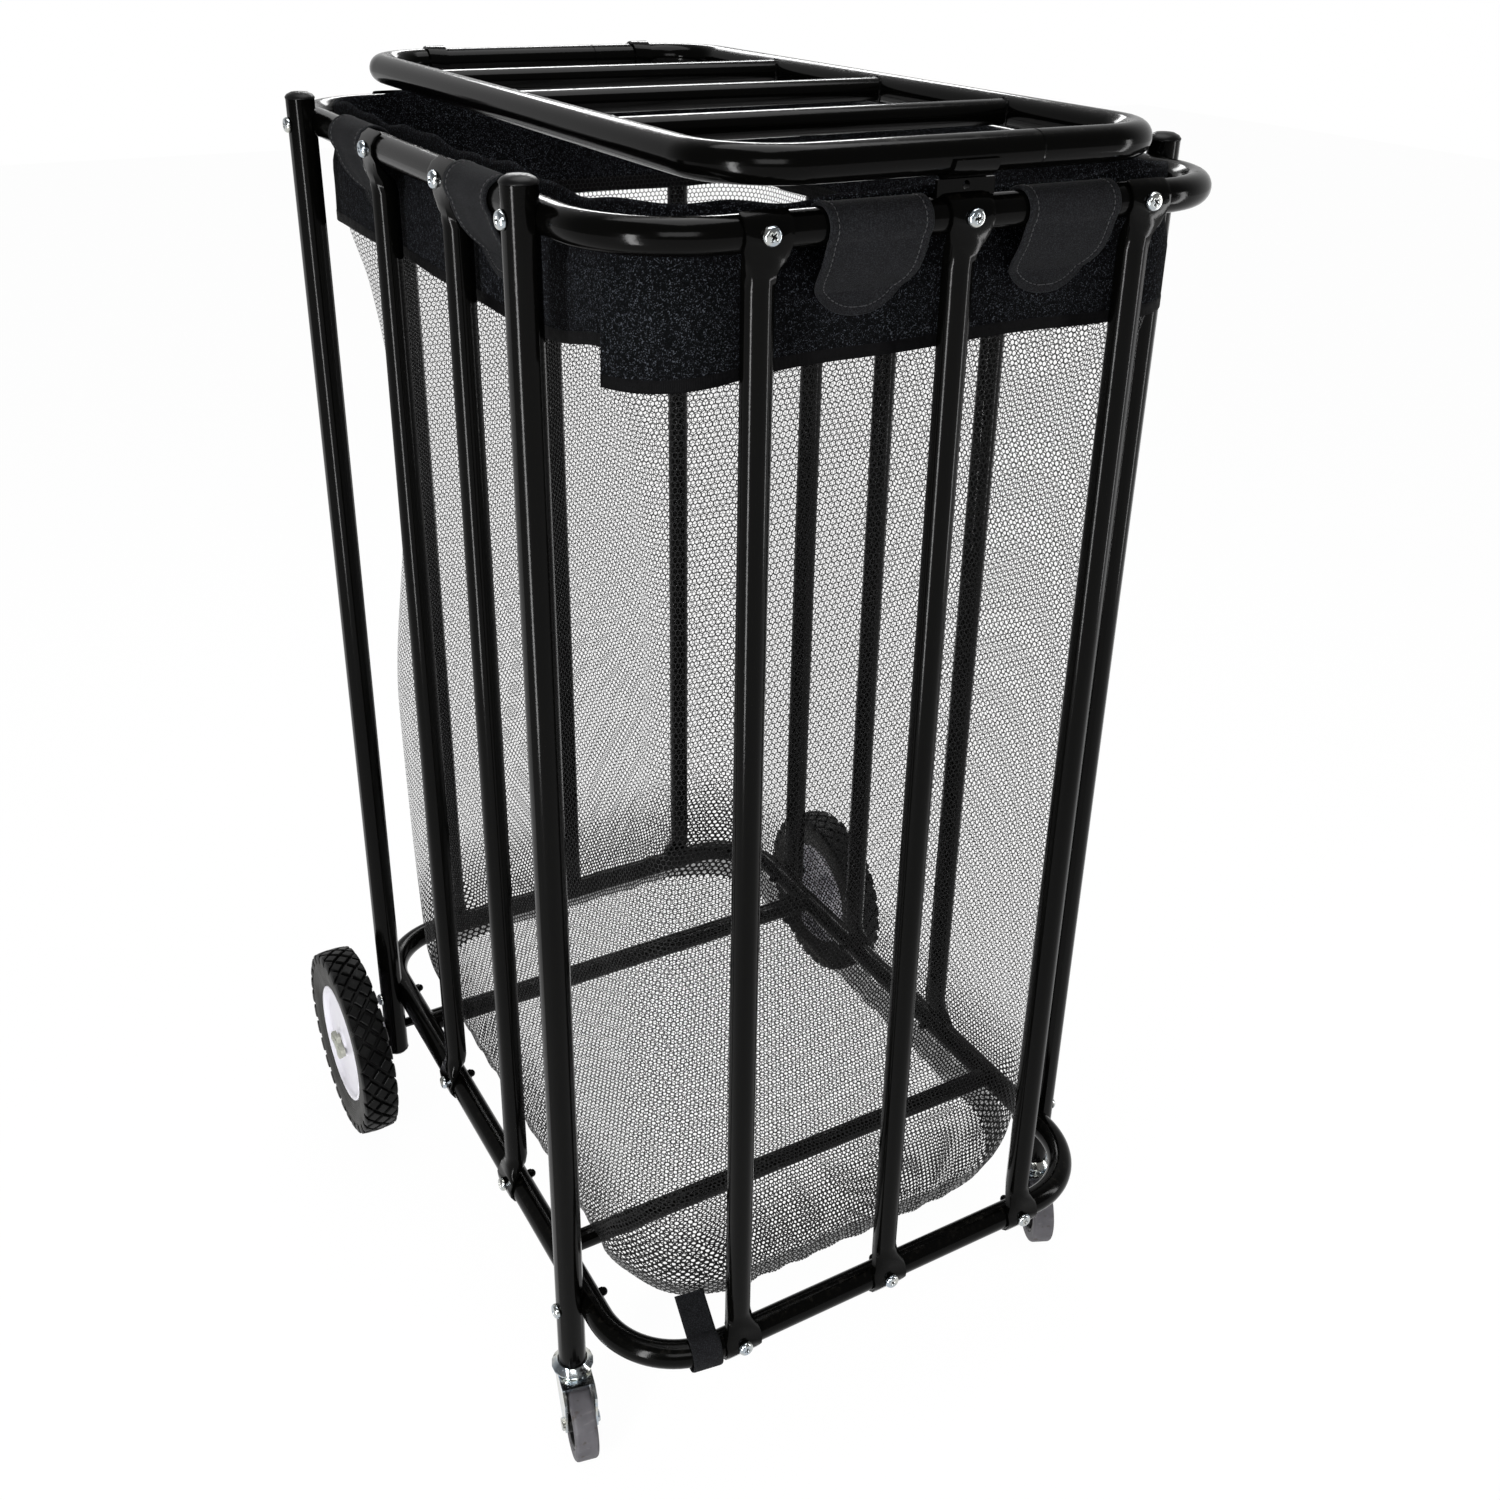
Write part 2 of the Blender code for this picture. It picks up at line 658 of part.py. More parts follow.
def build_hinge_clips(pivot):
    """Clips clamped on the lid's rear tube that turn about the ring's rear tube."""
    rise = LID_HEIGHT - TOP_RING_HEIGHT
    ring_bore = RING_R + HINGE_GAP
    lid_bore = LID_R + GAP
    ring_outer = ring_bore + CLIP_THICKNESS
    lid_outer = lid_bore + CLIP_THICKNESS
    ring_angle = math.degrees(math.asin(CLIP_WEB / 2 / ring_outer))
    lid_angle = math.degrees(math.asin(CLIP_WEB / 2 / lid_outer))
    outline = arc(ring_outer, 90.0 + ring_angle, 450.0 - ring_angle, 16)
    outline += arc(lid_outer, -90.0 + lid_angle, 270.0 - lid_angle, 16, (0.0, rise))
    holes = [arc(ring_bore, 0.0, 342.0, 19), arc(lid_bore, 0.0, 342.0, 19, (0.0, rise))]
    web_middle = (ring_outer + rise - lid_outer) / 2
    for name, side in (("left", -1), ("right", 1)):
        x = side * HINGE_CLIP_SPACING / 2
        clip = extruded(f"hinge_clip_{name}", [outline] + holes, HINGE_CLIP_WIDTH, "black_powder_coat",
                        side_frame(x, 1), pivot)
        rivet = bmesh.new()
        middle = Vector((x, RING_LENGTH / 2, TOP_RING_HEIGHT + web_middle))
        reach = Vector((0.0, CLIP_WEB / 2 + RIVET_REACH, 0.0))
        add_cylinder(rivet, RIVET / 2, middle - reach, middle + reach, FASTENER_SIDES)
        boolean(clip, rivet, "UNION")


def latch_bracket_outline():
    """A lug on the ring's inner top quarter with a blade that stands on it."""
    bore = RING_R + GAP
    outer = bore + CLIP_THICKNESS
    near = GAP / 2
    far = near + LATCH_THICKNESS
    points = arc(bore, math.degrees(math.acos(far / bore)), LATCH_LUG_ANGLE, 8)
    points += arc(outer, LATCH_LUG_ANGLE, math.degrees(math.acos(near / outer)), 6)
    blade_top = LID_HEIGHT - TOP_RING_HEIGHT - (LID_R + GAP + CLIP_THICKNESS) - GAP
    return points + [(near, blade_top), (far, blade_top)]


def latch_plate_outline():
    """A half clip under the lid's tube with a blade that hangs behind the bracket's."""
    bore = LID_R + GAP
    outer = bore + CLIP_THICKNESS
    near = -GAP / 2
    far = near - LATCH_THICKNESS
    rise = LID_HEIGHT - TOP_RING_HEIGHT
    blade_bottom = RING_R + 2 * GAP + CLIP_THICKNESS
    points = arc(bore, 180.0 + CLIP_LIP_ANGLE, 360.0 - CLIP_LIP_ANGLE, 12, (0.0, rise))
    points += arc(outer, 360.0 - CLIP_LIP_ANGLE, 270.0 - math.degrees(math.asin(-near / outer)), 7, (0.0, rise))
    points += [(near, blade_bottom), (far, blade_bottom)]
    points += arc(outer, 270.0 - math.degrees(math.asin(-far / outer)), 180.0 + CLIP_LIP_ANGLE, 6, (0.0, rise))
    return points


def build_latch(pivot):
    """A bracket on the front tube of the ring and a plate on the lid, with one padlock hole."""
    y = -RING_LENGTH / 2
    blades_from = RING_R + GAP + CLIP_THICKNESS
    blades_to = LID_HEIGHT - TOP_RING_HEIGHT - (LID_R + GAP + CLIP_THICKNESS)
    hole_height = TOP_RING_HEIGHT + (blades_from + blades_to) / 2
    pieces = (("latch_bracket", latch_bracket_outline(), LATCH_BRACKET_WIDTH, None),
              ("latch_plate", latch_plate_outline(), LATCH_PLATE_WIDTH, pivot))
    for name, outline, width, parent in pieces:
        piece = extruded(name, [outline], width, "black_powder_coat", side_frame(0.0, -1), parent)
        hole = bmesh.new()
        add_cylinder(hole, LATCH_HOLE / 2, (0.0, y - RING_TUBE, hole_height), (0.0, y + RING_TUBE, hole_height),
                     SMALL_SIDES)
        boolean(piece, hole, "DIFFERENCE")


# Large wheels

def build_axle():
    reach = WHEEL_TRACK / 2 + HUB_OUTER + HUB_CAP_HEIGHT / 2
    bm = bmesh.new()
    add_cylinder(bm, AXLE_DIAMETER / 2, (-reach, LEG_Y, AXLE_HEIGHT), (reach, LEG_Y, AXLE_HEIGHT), FASTENER_SIDES)
    add_object("rear_axle", mesh_from("rear_axle", bm), "zinc_steel")


def tyre_profile(radius, width, inner, crown):
    """Closed section of a tyre, half a width to each side of its middle."""
    half = width / 2
    outside = [(inner, half), (radius - crown, half), (radius - crown * 0.3, half - crown * 0.3),
               (radius, half - crown)]
    return outside + [(r, -z) for r, z in reversed(outside)]


def rim_profile():
    """Section of the wheel disc, its outer face at +Z and its spacer boss at -Z."""
    bore = AXLE_DIAMETER / 2 + RUNNING_GAP
    hub = HUB_DIAMETER / 2
    edge = RIM_DIAMETER / 2
    half = RIM_WIDTH / 2
    lip = edge - RIM_LIP
    well = lip - RIM_FILLET
    boss = hub + HUB_FILLET
    spacer = WHEEL_TRACK / 2 - LEG_X - LEG_R - RUNNING_GAP
    back = RIM_FACE - RIM_WEB
    return [(bore, HUB_OUTER), (hub, HUB_OUTER), (boss, RIM_FACE), (well, RIM_FACE), (lip, half), (edge, half),
            (edge, -half), (lip, -half), (well, back), (boss, back), (hub, -spacer), (bore, -spacer)]


def hub_cap_profile():
    """A push-on cap that holds the wheel on the axle's end."""
    bore = AXLE_DIAMETER / 2 + GAP
    outer = HUB_CAP_DIAMETER / 2
    base = HUB_OUTER + RUNNING_GAP
    top = HUB_OUTER + HUB_CAP_HEIGHT
    roof = HUB_OUTER + HUB_CAP_HEIGHT / 2 + GAP
    return [(0.0, top), (outer * 0.7, top), (outer, top - HUB_CAP_EDGE), (outer, base), (bore, base),
            (bore, roof), (0.0, roof)]


def build_wheels():
    for name, side in (("left", -1), ("right", 1)):
        centre = (side * WHEEL_TRACK / 2, LEG_Y, AXLE_HEIGHT)
        place = aim(centre, (side, 0.0, 0.0))
        pivot = add_pivot(f"rear_wheel_{name}_axis", centre)
        tyre = tyre_profile(WHEEL_DIAMETER / 2, WHEEL_WIDTH, RIM_DIAMETER / 2 + GAP, TYRE_CROWN)
        turned(f"rear_tyre_{name}", tyre, "tyre_rubber", place, WHEEL_SIDES, pivot)
        turned(f"rear_wheel_disc_{name}", rim_profile(), "white_plastic", place, WHEEL_SIDES, pivot)
        turned(f"hub_cap_{name}", hub_cap_profile(), "grey_plastic", place, SMALL_SIDES)


# Casters

def stem_profile():
    """Stem, upper race and king pin; z is 0 at the leg's end."""
    race = RACE_DIAMETER / 2
    pin = KING_PIN / 2
    head = KING_PIN_HEAD / 2
    stem = LEG_BORE_R - SPIGOT_GAP
    collar = LEG_R + STEM_COLLAR
    under = -GAP - UPPER_RACE_HEIGHT
    neck = crown_bottom() - RUNNING_GAP
    head_bottom = neck - KING_PIN_HEAD_HEIGHT
    return [(0.0, STEM_LENGTH), (stem, STEM_LENGTH), (stem, -GAP), (collar - STEM_COLLAR / 2, -GAP),
            (collar, -GAP - STEM_COLLAR_DROP), (race, -GAP - RACE_SHOULDER), (race, under + RACE_EDGE),
            (race - RACE_EDGE, under), (pin, under), (pin, neck), (head, neck), (head, head_bottom),
            (0.0, head_bottom)]


def crown_bottom():
    """Underside of the fork's crown below the leg's end."""
    return -GAP - UPPER_RACE_HEIGHT - RUNNING_GAP - LOWER_RACE_HEIGHT


def lower_race_profile():
    """Lower race, sunk half way into the fork's crown; z is 0 at the leg's end."""
    race = RACE_DIAMETER / 2 - LOWER_RACE_STEP
    bore = KING_PIN / 2 + RUNNING_GAP
    top = -GAP - UPPER_RACE_HEIGHT - RUNNING_GAP
    bottom = crown_bottom() + FORK_CROWN / 2
    return [(bore, top), (race - RACE_EDGE, top), (race, top - RACE_EDGE), (race - RACE_EDGE, bottom),
            (bore, bottom)]


def fork_outline():
    """One cheek of the fork in the plane (forward, up), about the leg's end."""
    crown_top = crown_bottom() + FORK_CROWN - CROWN_INSET
    axle = (-CASTER_TRAIL, CASTER_R - FRONT_LEG_BOTTOM)
    eye = FORK_EYE / 2
    outline = [(FORK_REAR, crown_top), (FORK_NOSE - CASTER_TRAIL, crown_top),
               (axle[0] - eye, crown_top - CHEEK_NOSE_DROP)]
    outline += arc(eye, 180.0, 330.0, 8, axle)
    outline += [(FORK_REAR, crown_top - CHEEK_HEEL_DROP)]
    return outline


def build_fork(name, place, pivot):
    """Lower race, crown, two cheeks and the wheel's bolt, in one piece."""
    fork = turned(name, lower_race_profile(), "zinc_steel", place, SMALL_SIDES, pivot)
    outer = FORK_HALF_GAP + FORK_GAUGE
    crown = bmesh.new()
    bmesh.ops.create_cube(crown, size=1.0)
    length = FORK_REAR + CASTER_TRAIL - FORK_NOSE - 2 * CROWN_INSET
    centre = (0.0, FORK_REAR - CROWN_INSET - length / 2, crown_bottom() + FORK_CROWN / 2)
    bmesh.ops.scale(crown, vec=(2 * (outer - CROWN_INSET), length, FORK_CROWN), verts=crown.verts)
    bmesh.ops.translate(crown, vec=centre, verts=crown.verts)
    bmesh.ops.transform(crown, matrix=place, verts=crown.verts)
    boolean(fork, crown, "UNION")
    for side in (-1, 1):
        cheek = bmesh.new()
        x = side * (FORK_HALF_GAP + FORK_GAUGE / 2)
        face = cheek.faces.new([cheek.verts.new((x - FORK_GAUGE / 2, y, z)) for y, z in fork_outline()])
        swept = bmesh.ops.extrude_face_region(cheek, geom=[face])["geom"]
        moved = [item for item in swept if isinstance(item, bmesh.types.BMVert)]
        bmesh.ops.translate(cheek, vec=(FORK_GAUGE, 0.0, 0.0), verts=moved)
        bmesh.ops.transform(cheek, matrix=place, verts=cheek.verts)
        boolean(fork, cheek, "UNION")
    pin = bmesh.new()
    axle = Vector((0.0, -CASTER_TRAIL, CASTER_R - FRONT_LEG_BOTTOM))
    across = Vector((outer, 0.0, 0.0))
    add_cylinder(pin, CASTER_BOLT / 2, place @ (axle - across), place @ (axle + across), FASTENER_SIDES)
    boolean(fork, pin, "UNION")
    heads = bmesh.new()
    for side in (-1, 1):
        outward = (place.to_3x3() @ Vector((side, 0.0, 0.0))).normalized()
        seat = place @ (axle + across * side)
        add_peg(heads, BOLT_HEAD / 2, BOLT_HEAD_HEIGHT, BOLT_HEAD_EDGE, FASTENER_ROOT, seat, outward)
    boolean(fork, heads, "UNION")
    bore = bmesh.new()
    low = place @ Vector((0.0, 0.0, crown_bottom() - FORK_CROWN))
    high = place @ Vector((0.0, 0.0, -GAP))
    add_cylinder(bore, KING_PIN / 2 + RUNNING_GAP, low, high, SMALL_SIDES)
    boolean(fork, bore, "DIFFERENCE")


def caster_core_profile():
    """Closed section of a caster wheel's hub, the same on both sides of its middle."""
    bore = CASTER_BOLT / 2 + RUNNING_GAP
    boss = CASTER_BOSS / 2
    edge = CASTER_CORE / 2
    half = CASTER_WIDTH / 2 - CASTER_RIM / 3
    web = CASTER_WEB / 2
    hub = FORK_HALF_GAP - RUNNING_GAP
    rim = edge - CASTER_RIM
    draft = CASTER_RIM / 3
    outside = [(bore, hub), (boss, hub), (boss + draft, web), (rim - draft, web), (rim, half), (edge, half)]
    return outside + [(r, -z) for r, z in reversed(outside)]


def build_casters():
    for name, side, degrees in (("left", -1, CASTER_TURN_LEFT), ("right", 1, CASTER_TURN_RIGHT)):
        centre = Vector((side * LEG_X, -LEG_Y, FRONT_LEG_BOTTOM))
        swivel = add_pivot(f"caster_{name}_swivel_axis", centre)
        place = move_to(centre) @ turn_z(-degrees)
        turned(f"caster_stem_{name}", stem_profile(), "zinc_steel", place, SMALL_SIDES)
        build_fork(f"caster_fork_{name}", place, swivel)
        axle = place @ Vector((0.0, -CASTER_TRAIL, CASTER_R - FRONT_LEG_BOTTOM))
        axis = place.to_3x3() @ Vector((side, 0.0, 0.0))
        spin = add_pivot(f"caster_{name}_wheel_axis", axle)
        wheel_place = aim(axle, axis)
        tread = tyre_profile(CASTER_R, CASTER_WIDTH, CASTER_CORE / 2 + GAP, TREAD_CROWN)
        turned(f"caster_tread_{name}", tread, "grey_rubber", wheel_place, WHEEL_SIDES, spin)
        turned(f"caster_core_{name}", caster_core_profile(), "black_plastic", wheel_place, SMALL_SIDES, spin)


# Bag and what holds it

def band_outline(inset, rounder=0.0):
    width = RING_WIDTH - 2 * (BAND_INSET + inset)
    length = RING_LENGTH - 2 * (BAND_INSET + inset)
    return rounded_rectangle(width, length, RING_BEND - BAND_INSET - inset + rounder, BEND_STEPS)


def build_band():
    """The plush band inside the top ring, which the net is sewn to."""
    height = BAND_TOP - BAND_BOTTOM
    outlines = [band_outline(0.0), list(reversed(band_outline(BAND_THICKNESS)))]
    place = move_to((0.0, 0.0, (BAND_TOP + BAND_BOTTOM) / 2))
    extruded("bag_band", outlines, height, "black_plush", place)


def bag_rings(depth):
    """Points round the bag's skin, level by level from the top down.

    The depth is how far the skin lies under the bag's outer face.
    """
    rings = []
    for share, inset, rounder, lean in BAG_SHAPE:
        height = BAG_TOP - (BAG_TOP - BAG_BOTTOM) * share
        if share == 1.0:
            height += depth
        outline = band_outline(BAND_THICKNESS + GAP + inset + depth, rounder)
        rings.append([Vector((round(p.x - lean, 6), round(p.y - lean, 6), round(height, 6))) for p in outline])
    return rings


def build_bag():
    """The net bag, open at its top, sewn inside the band's lower edge."""
    bm = bmesh.new()
    skins = []
    for depth in (0.0, BAG_THICKNESS):
        skins.append([[bm.verts.new(p) for p in ring] for ring in bag_rings(depth)])
    outer, inner = skins
    count = len(outer[0])
    strips = [(pair, 1) for pair in zip(outer, outer[1:])]
    strips += [(pair, -1) for pair in zip(inner, inner[1:])]
    strips.append(((outer[0], inner[0]), -1))
    for (first, second), order in strips:
        for i in range(count):
            j = (i + 1) % count
            bm.faces.new((first[i], second[i], second[j])[::order])
            bm.faces.new((first[i], second[j], first[j])[::order])
    for ring, order in ((outer[-1], -1), (inner[-1], 1)):
        lean = BAG_SHAPE[-1][3]
        middle = bm.verts.new((-lean, -lean, ring[0].co.z - BAG_SAG))
        for i in range(count):
            bm.faces.new((ring[i], ring[(i + 1) % count], middle)[::order])
    add_object("bag_net", mesh_from("bag_net", bm), "black_net")


def plate_sections(path, half_widths, thickness):
    """Flat sections across a path of (outward, up) points, for a bent plate."""
    sections = []
    for i, (point, half_width) in enumerate(zip(path, half_widths)):
        before = Vector(path[max(i - 1, 0)])
        after = Vector(path[min(i + 1, len(path) - 1)])
        along = (after - before).normalized()
        normal = Vector((-along.y, along.x)) * thickness / 2
        near = Vector(point) - normal
        far = Vector(point) + normal
        sections.append([Vector((-half_width, -near.x, near.y)), Vector((half_width, -near.x, near.y)),
                         Vector((half_width, -far.x, far.y)), Vector((-half_width, -far.x, far.y))])
    return sections


def build_tab(name, position, degrees):
    """A tab from the band's inner side, over the ring and back to the band outside."""
    middle = RING_R + TAB_GAP + TAB_THICKNESS / 2
    rest = BAND_INSET - GAP - TAB_THICKNESS / 2
    path = [(-rest, -TAB_INNER_DROP), (-rest, -TAB_INNER_DROP * 0.6)]
    path += arc(middle, 180.0, -TAB_FALL_ANGLE, 9)
    leave = Vector(path[-1])
    fall = Vector((-math.sin(math.radians(TAB_FALL_ANGLE)), -math.cos(math.radians(TAB_FALL_ANGLE))))
    run = (leave.x + rest) / -fall.x
    landing = leave + fall * run
    path += [tuple(leave + fall * run * 0.9), tuple(landing + Vector((0.0, -TAB_LANDING)))]
    straight = len(path)
    path += [(-rest, -TAB_OUTER_DROP + TAB_END_RADIUS * above) for above, _ in TAB_END_SHAPE]
    half = TAB_WIDTH / 2
    widths = [half] * straight + [half - TAB_END_RADIUS * inset for _, inset in TAB_END_SHAPE]
    loft(name, plate_sections(path, widths, TAB_THICKNESS), "black_webbing",
         move_to(position) @ turn_z(degrees) @ move_to((0.0, 0.0, TOP_RING_HEIGHT)))


def build_tabs():
    x = RING_WIDTH / 2
    y = RING_LENGTH / 2
    for side, label in ((-1, "left"), (1, "right")):
        build_tab(f"tab_front_{label}", (side * FRONT_TAB_SPACING / 2, -y, 0.0), 0.0)
        build_tab(f"tab_rear_{label}", (side * REAR_TAB_SPACING / 2, y, 0.0), 180.0)
    for row, label in ((-1, "front"), (1, "rear")):
        build_tab(f"tab_left_{label}", (-x, row * SIDE_TAB_SPACING / 2, 0.0), -90.0)
        build_tab(f"tab_right_{label}", (x, row * SIDE_TAB_SPACING / 2, 0.0), 90.0)


def build_strap():
    """The strap from the bag's bottom that wraps the bottom ring by the front left corner."""
    sagitta = RING_BEND - math.sqrt(RING_BEND ** 2 - (STRAP_WIDTH / 2) ** 2)
    middle = RING_R + sagitta + STRAP_GAP + STRAP_THICKNESS / 2
    path = arc(middle, STRAP_LEAVE_ANGLE, STRAP_END_ANGLE, 14)
    leave = Vector(path[0])
    turn = math.radians(STRAP_LEAVE_ANGLE)
    start = leave + Vector((-math.sin(turn), -math.cos(turn))) * STRAP_RISE
    path = [tuple(start), tuple((start + leave) / 2)] + path
    corner = Vector((-(RING_WIDTH / 2 - RING_BEND), -(RING_LENGTH / 2 - RING_BEND), BOTTOM_RING_HEIGHT))
    place = move_to(corner) @ turn_z(-STRAP_ANGLE) @ move_to((0.0, -RING_BEND, 0.0))
    sections = plate_sections(path, [STRAP_WIDTH / 2] * len(path), STRAP_THICKNESS)
    loft("bag_strap", sections, "black_webbing", place)


clear_scene()
PARTS = make_collection(OBJECT_NAME)
CUTTERS = make_collection(OBJECT_NAME + "_cutters")
build_ring("top", TOP_RING_HEIGHT)
build_ring("bottom", BOTTOM_RING_HEIGHT)
build_cross_tubes()
build_uprights()
build_legs()
lid_pivot = add_pivot("lid_axis", PIVOT)
build_lid(lid_pivot)
build_hinge_clips(lid_pivot)
build_latch(lid_pivot)
build_axle()
build_wheels()
build_casters()
build_band()
build_bag()
build_tabs()
build_strap()
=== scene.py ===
"""Looks of the rolling ball locker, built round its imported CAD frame.

Metres, +Z up, the casters at -Y and the large wheels at +Y, as in the frame.
"""
import json
import math

import bpy
import numpy as np
from mathutils import Matrix, Vector


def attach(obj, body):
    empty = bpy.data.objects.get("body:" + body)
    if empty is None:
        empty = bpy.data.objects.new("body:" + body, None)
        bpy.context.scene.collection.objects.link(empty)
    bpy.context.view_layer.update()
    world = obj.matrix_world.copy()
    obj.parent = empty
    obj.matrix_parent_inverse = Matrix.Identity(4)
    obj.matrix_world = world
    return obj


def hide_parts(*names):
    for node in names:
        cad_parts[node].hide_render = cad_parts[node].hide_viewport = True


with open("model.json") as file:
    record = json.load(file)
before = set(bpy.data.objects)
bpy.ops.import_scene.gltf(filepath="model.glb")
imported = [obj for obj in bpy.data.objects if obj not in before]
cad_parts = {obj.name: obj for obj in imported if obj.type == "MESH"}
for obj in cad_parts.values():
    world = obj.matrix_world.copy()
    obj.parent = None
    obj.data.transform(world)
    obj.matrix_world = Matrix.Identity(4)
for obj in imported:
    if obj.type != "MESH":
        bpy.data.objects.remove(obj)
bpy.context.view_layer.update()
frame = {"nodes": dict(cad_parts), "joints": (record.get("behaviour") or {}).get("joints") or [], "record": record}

# Cage, as the frame has it
RING_HALF = Vector((0.281, 0.3935))
RING_BEND = 0.085
RING_RADIUS = 0.0135
BOTTOM_RING_HEIGHT = 0.166
TOP_RING_HEIGHT = 1.230
UPRIGHT_COLUMNS = (-0.172, 0.0, 0.172)
SIDE_UPRIGHTS = (-0.09353, 0.09353)
LEG = Vector((0.301, 0.2806))
CROSS_TUBES = (-0.207, 0.207)
BAR_RADIUS = 0.011
TUBE_SIDES = 28

# Screws, seams and welds
SCREW_SEAT = 0.017
LEG_SCREW_SEAT = 0.014
SCREW_TURN = 0.83
NUT_SINK = 0.0004
SEAM_EDGE = 0.0010
SEAM_FLOOR = 0.0004
SEAM_DEPTH = 0.0007
WELD_BEAD = 0.0013

# Lid
LID_HALF = Vector((0.197, 0.3935))
LID_HEIGHT = 1.273
LID_BEND = 0.065
LID_RADIUS = 0.014
LID_BARS = (-0.19675, 0.0, 0.19675)
LID_SEAM = 0.062

# Wheels
TYRE_RADIUS = 0.1183
TYRE_HALF_WIDTH = 0.0215
CROWN_DROP = 0.0002
CROWN_CAMBER = 0.0020
TREAD_DEPTH = 0.0044
TREAD_STEPS = 60
TREAD_COLUMN = 0.01075
TREAD_GROOVE = 0.0033
BLOCK_EDGE = 0.0005
RIM_RADIUS = 0.075
CLIP_SEAT = 0.0165
CASTER_RADIUS = 0.038
RACE_RADIUS = 0.0186
RACE_HEIGHT = 0.0842
RACE_BALL = 0.0016
RACE_BALLS = 18

# Band and net
CLOTH_GAP = 0.0003
BAND_INSET = 0.0222
BAND_THICKNESS = 0.004
BAND_TOP = 1.243
BAND_BOTTOM = 1.125
HEM = 0.009
BAND_BULGE = 0.0075
BULGE_DROP = 0.035
BAND_LAP = 1.225
BAG_TOP = 1.147
BAG_BOTTOM = 0.1835
NET_SKIN = 0.0015
NET_TUCK = 0.012
NECK = 0.008
NECK_REAR_LEFT = 0.020
NECK_RIGHT = 0.008
NECK_END = 0.62
FLOOR_SAG = 0.0028
FOOT_START = 0.80
NET_CELL = 0.0055
NET_THREAD = 0.0009
# Share of the bag's depth, how far it lies in, how much rounder its corners are and how far it leans
BAG_SHAPE = ((0.0, 0.0, 0.0, 0.0), (0.10, 0.011, 0.0, 0.0), (0.39, 0.0, 0.0, 0.0),
             (0.67, 0.002, 0.005, 0.0), (0.88, 0.004, 0.015, 0.0), (0.965, 0.007, 0.050, 0.010),
             (1.0, 0.022, 0.070, 0.016))

# Tabs and strap
TAB_HALF_WIDTH = 0.044
TAB_THICKNESS = 0.0024
TAB_LIFT = 0.0015
TAB_RING_GAP = 0.0006
TAB_BAND_GAP = 0.0012
TAB_LANDING = 0.050
TAB_DROP = 0.069
TAB_END_RADIUS = 0.041
TAB_BINDING = 0.0055
TAB_SEAM = TAB_BINDING + 0.0012
TABS = (("front", 180.0, (-0.096, 0.080)), ("rear", 0.0, (-0.066, 0.066)),
        ("left", 90.0, (-0.157, 0.157)), ("right", -90.0, (-0.157, 0.157)))
STITCH_PITCH = 0.0042
STITCH_LENGTH = 0.0029
STITCH_RADIUS = 0.00042
STRAP_HALF_WIDTH = 0.015
STRAP_HALF_THICKNESS = 0.0009
STRAP_RING_GAP = 0.0008
STRAP_LIFT = 0.001
STRAP_RISE = 0.041
STRAP_LEAVE = 112.0
STRAP_END = -165.0
STRAP_TURN = -9.0
CLOTH_ASIDE = 0.1

# Camera of the photo, and the floor
CAMERA_PLACE = (-0.7214, -1.3348, 1.4301)
CAMERA_FORWARD = (0.4528, 0.7764, -0.4383)
CAMERA_ROLL = 1.13
CAMERA_LENS = 37.39
CAMERA_SHIFT = -0.0556
FLOOR_HALF = 9.0


# Finishes

class Tone:
    """A value that varies over a surface. Arithmetic on it adds Math nodes to its finish."""

    def __init__(self, finish, socket):
        self.finish = finish
        self.socket = socket

    def math(self, operation, *values):
        return self.finish.node("ShaderNodeMath", {"operation": operation}, dict(enumerate(values)))

    def __add__(self, other):
        return self.math("ADD", self, other)

    def __radd__(self, other):
        return self.math("ADD", other, self)

    def __sub__(self, other):
        return self.math("SUBTRACT", self, other)

    def __rsub__(self, other):
        return self.math("SUBTRACT", other, self)

    def __mul__(self, other):
        return self.math("MULTIPLY", self, other)

    def __rmul__(self, other):
        return self.math("MULTIPLY", other, self)

    def larger(self, other):
        return self.math("MAXIMUM", self, other)

    def above(self, other):
        return self.math("GREATER_THAN", self, other)

    def wave(self, period):
        """Goes from 0 to 1 and back once in each period."""
        return 0.5 + 0.5 * self.math("SINE", self * (2 * math.pi / period))

    def step(self, low, high):
        """Goes smoothly from 0 at low to 1 at high."""
        return self.finish.node("ShaderNodeMapRange", {"interpolation_type": "SMOOTHSTEP"},
                                {0: self, 1: low, 2: high, 3: 0.0, 4: 1.0})


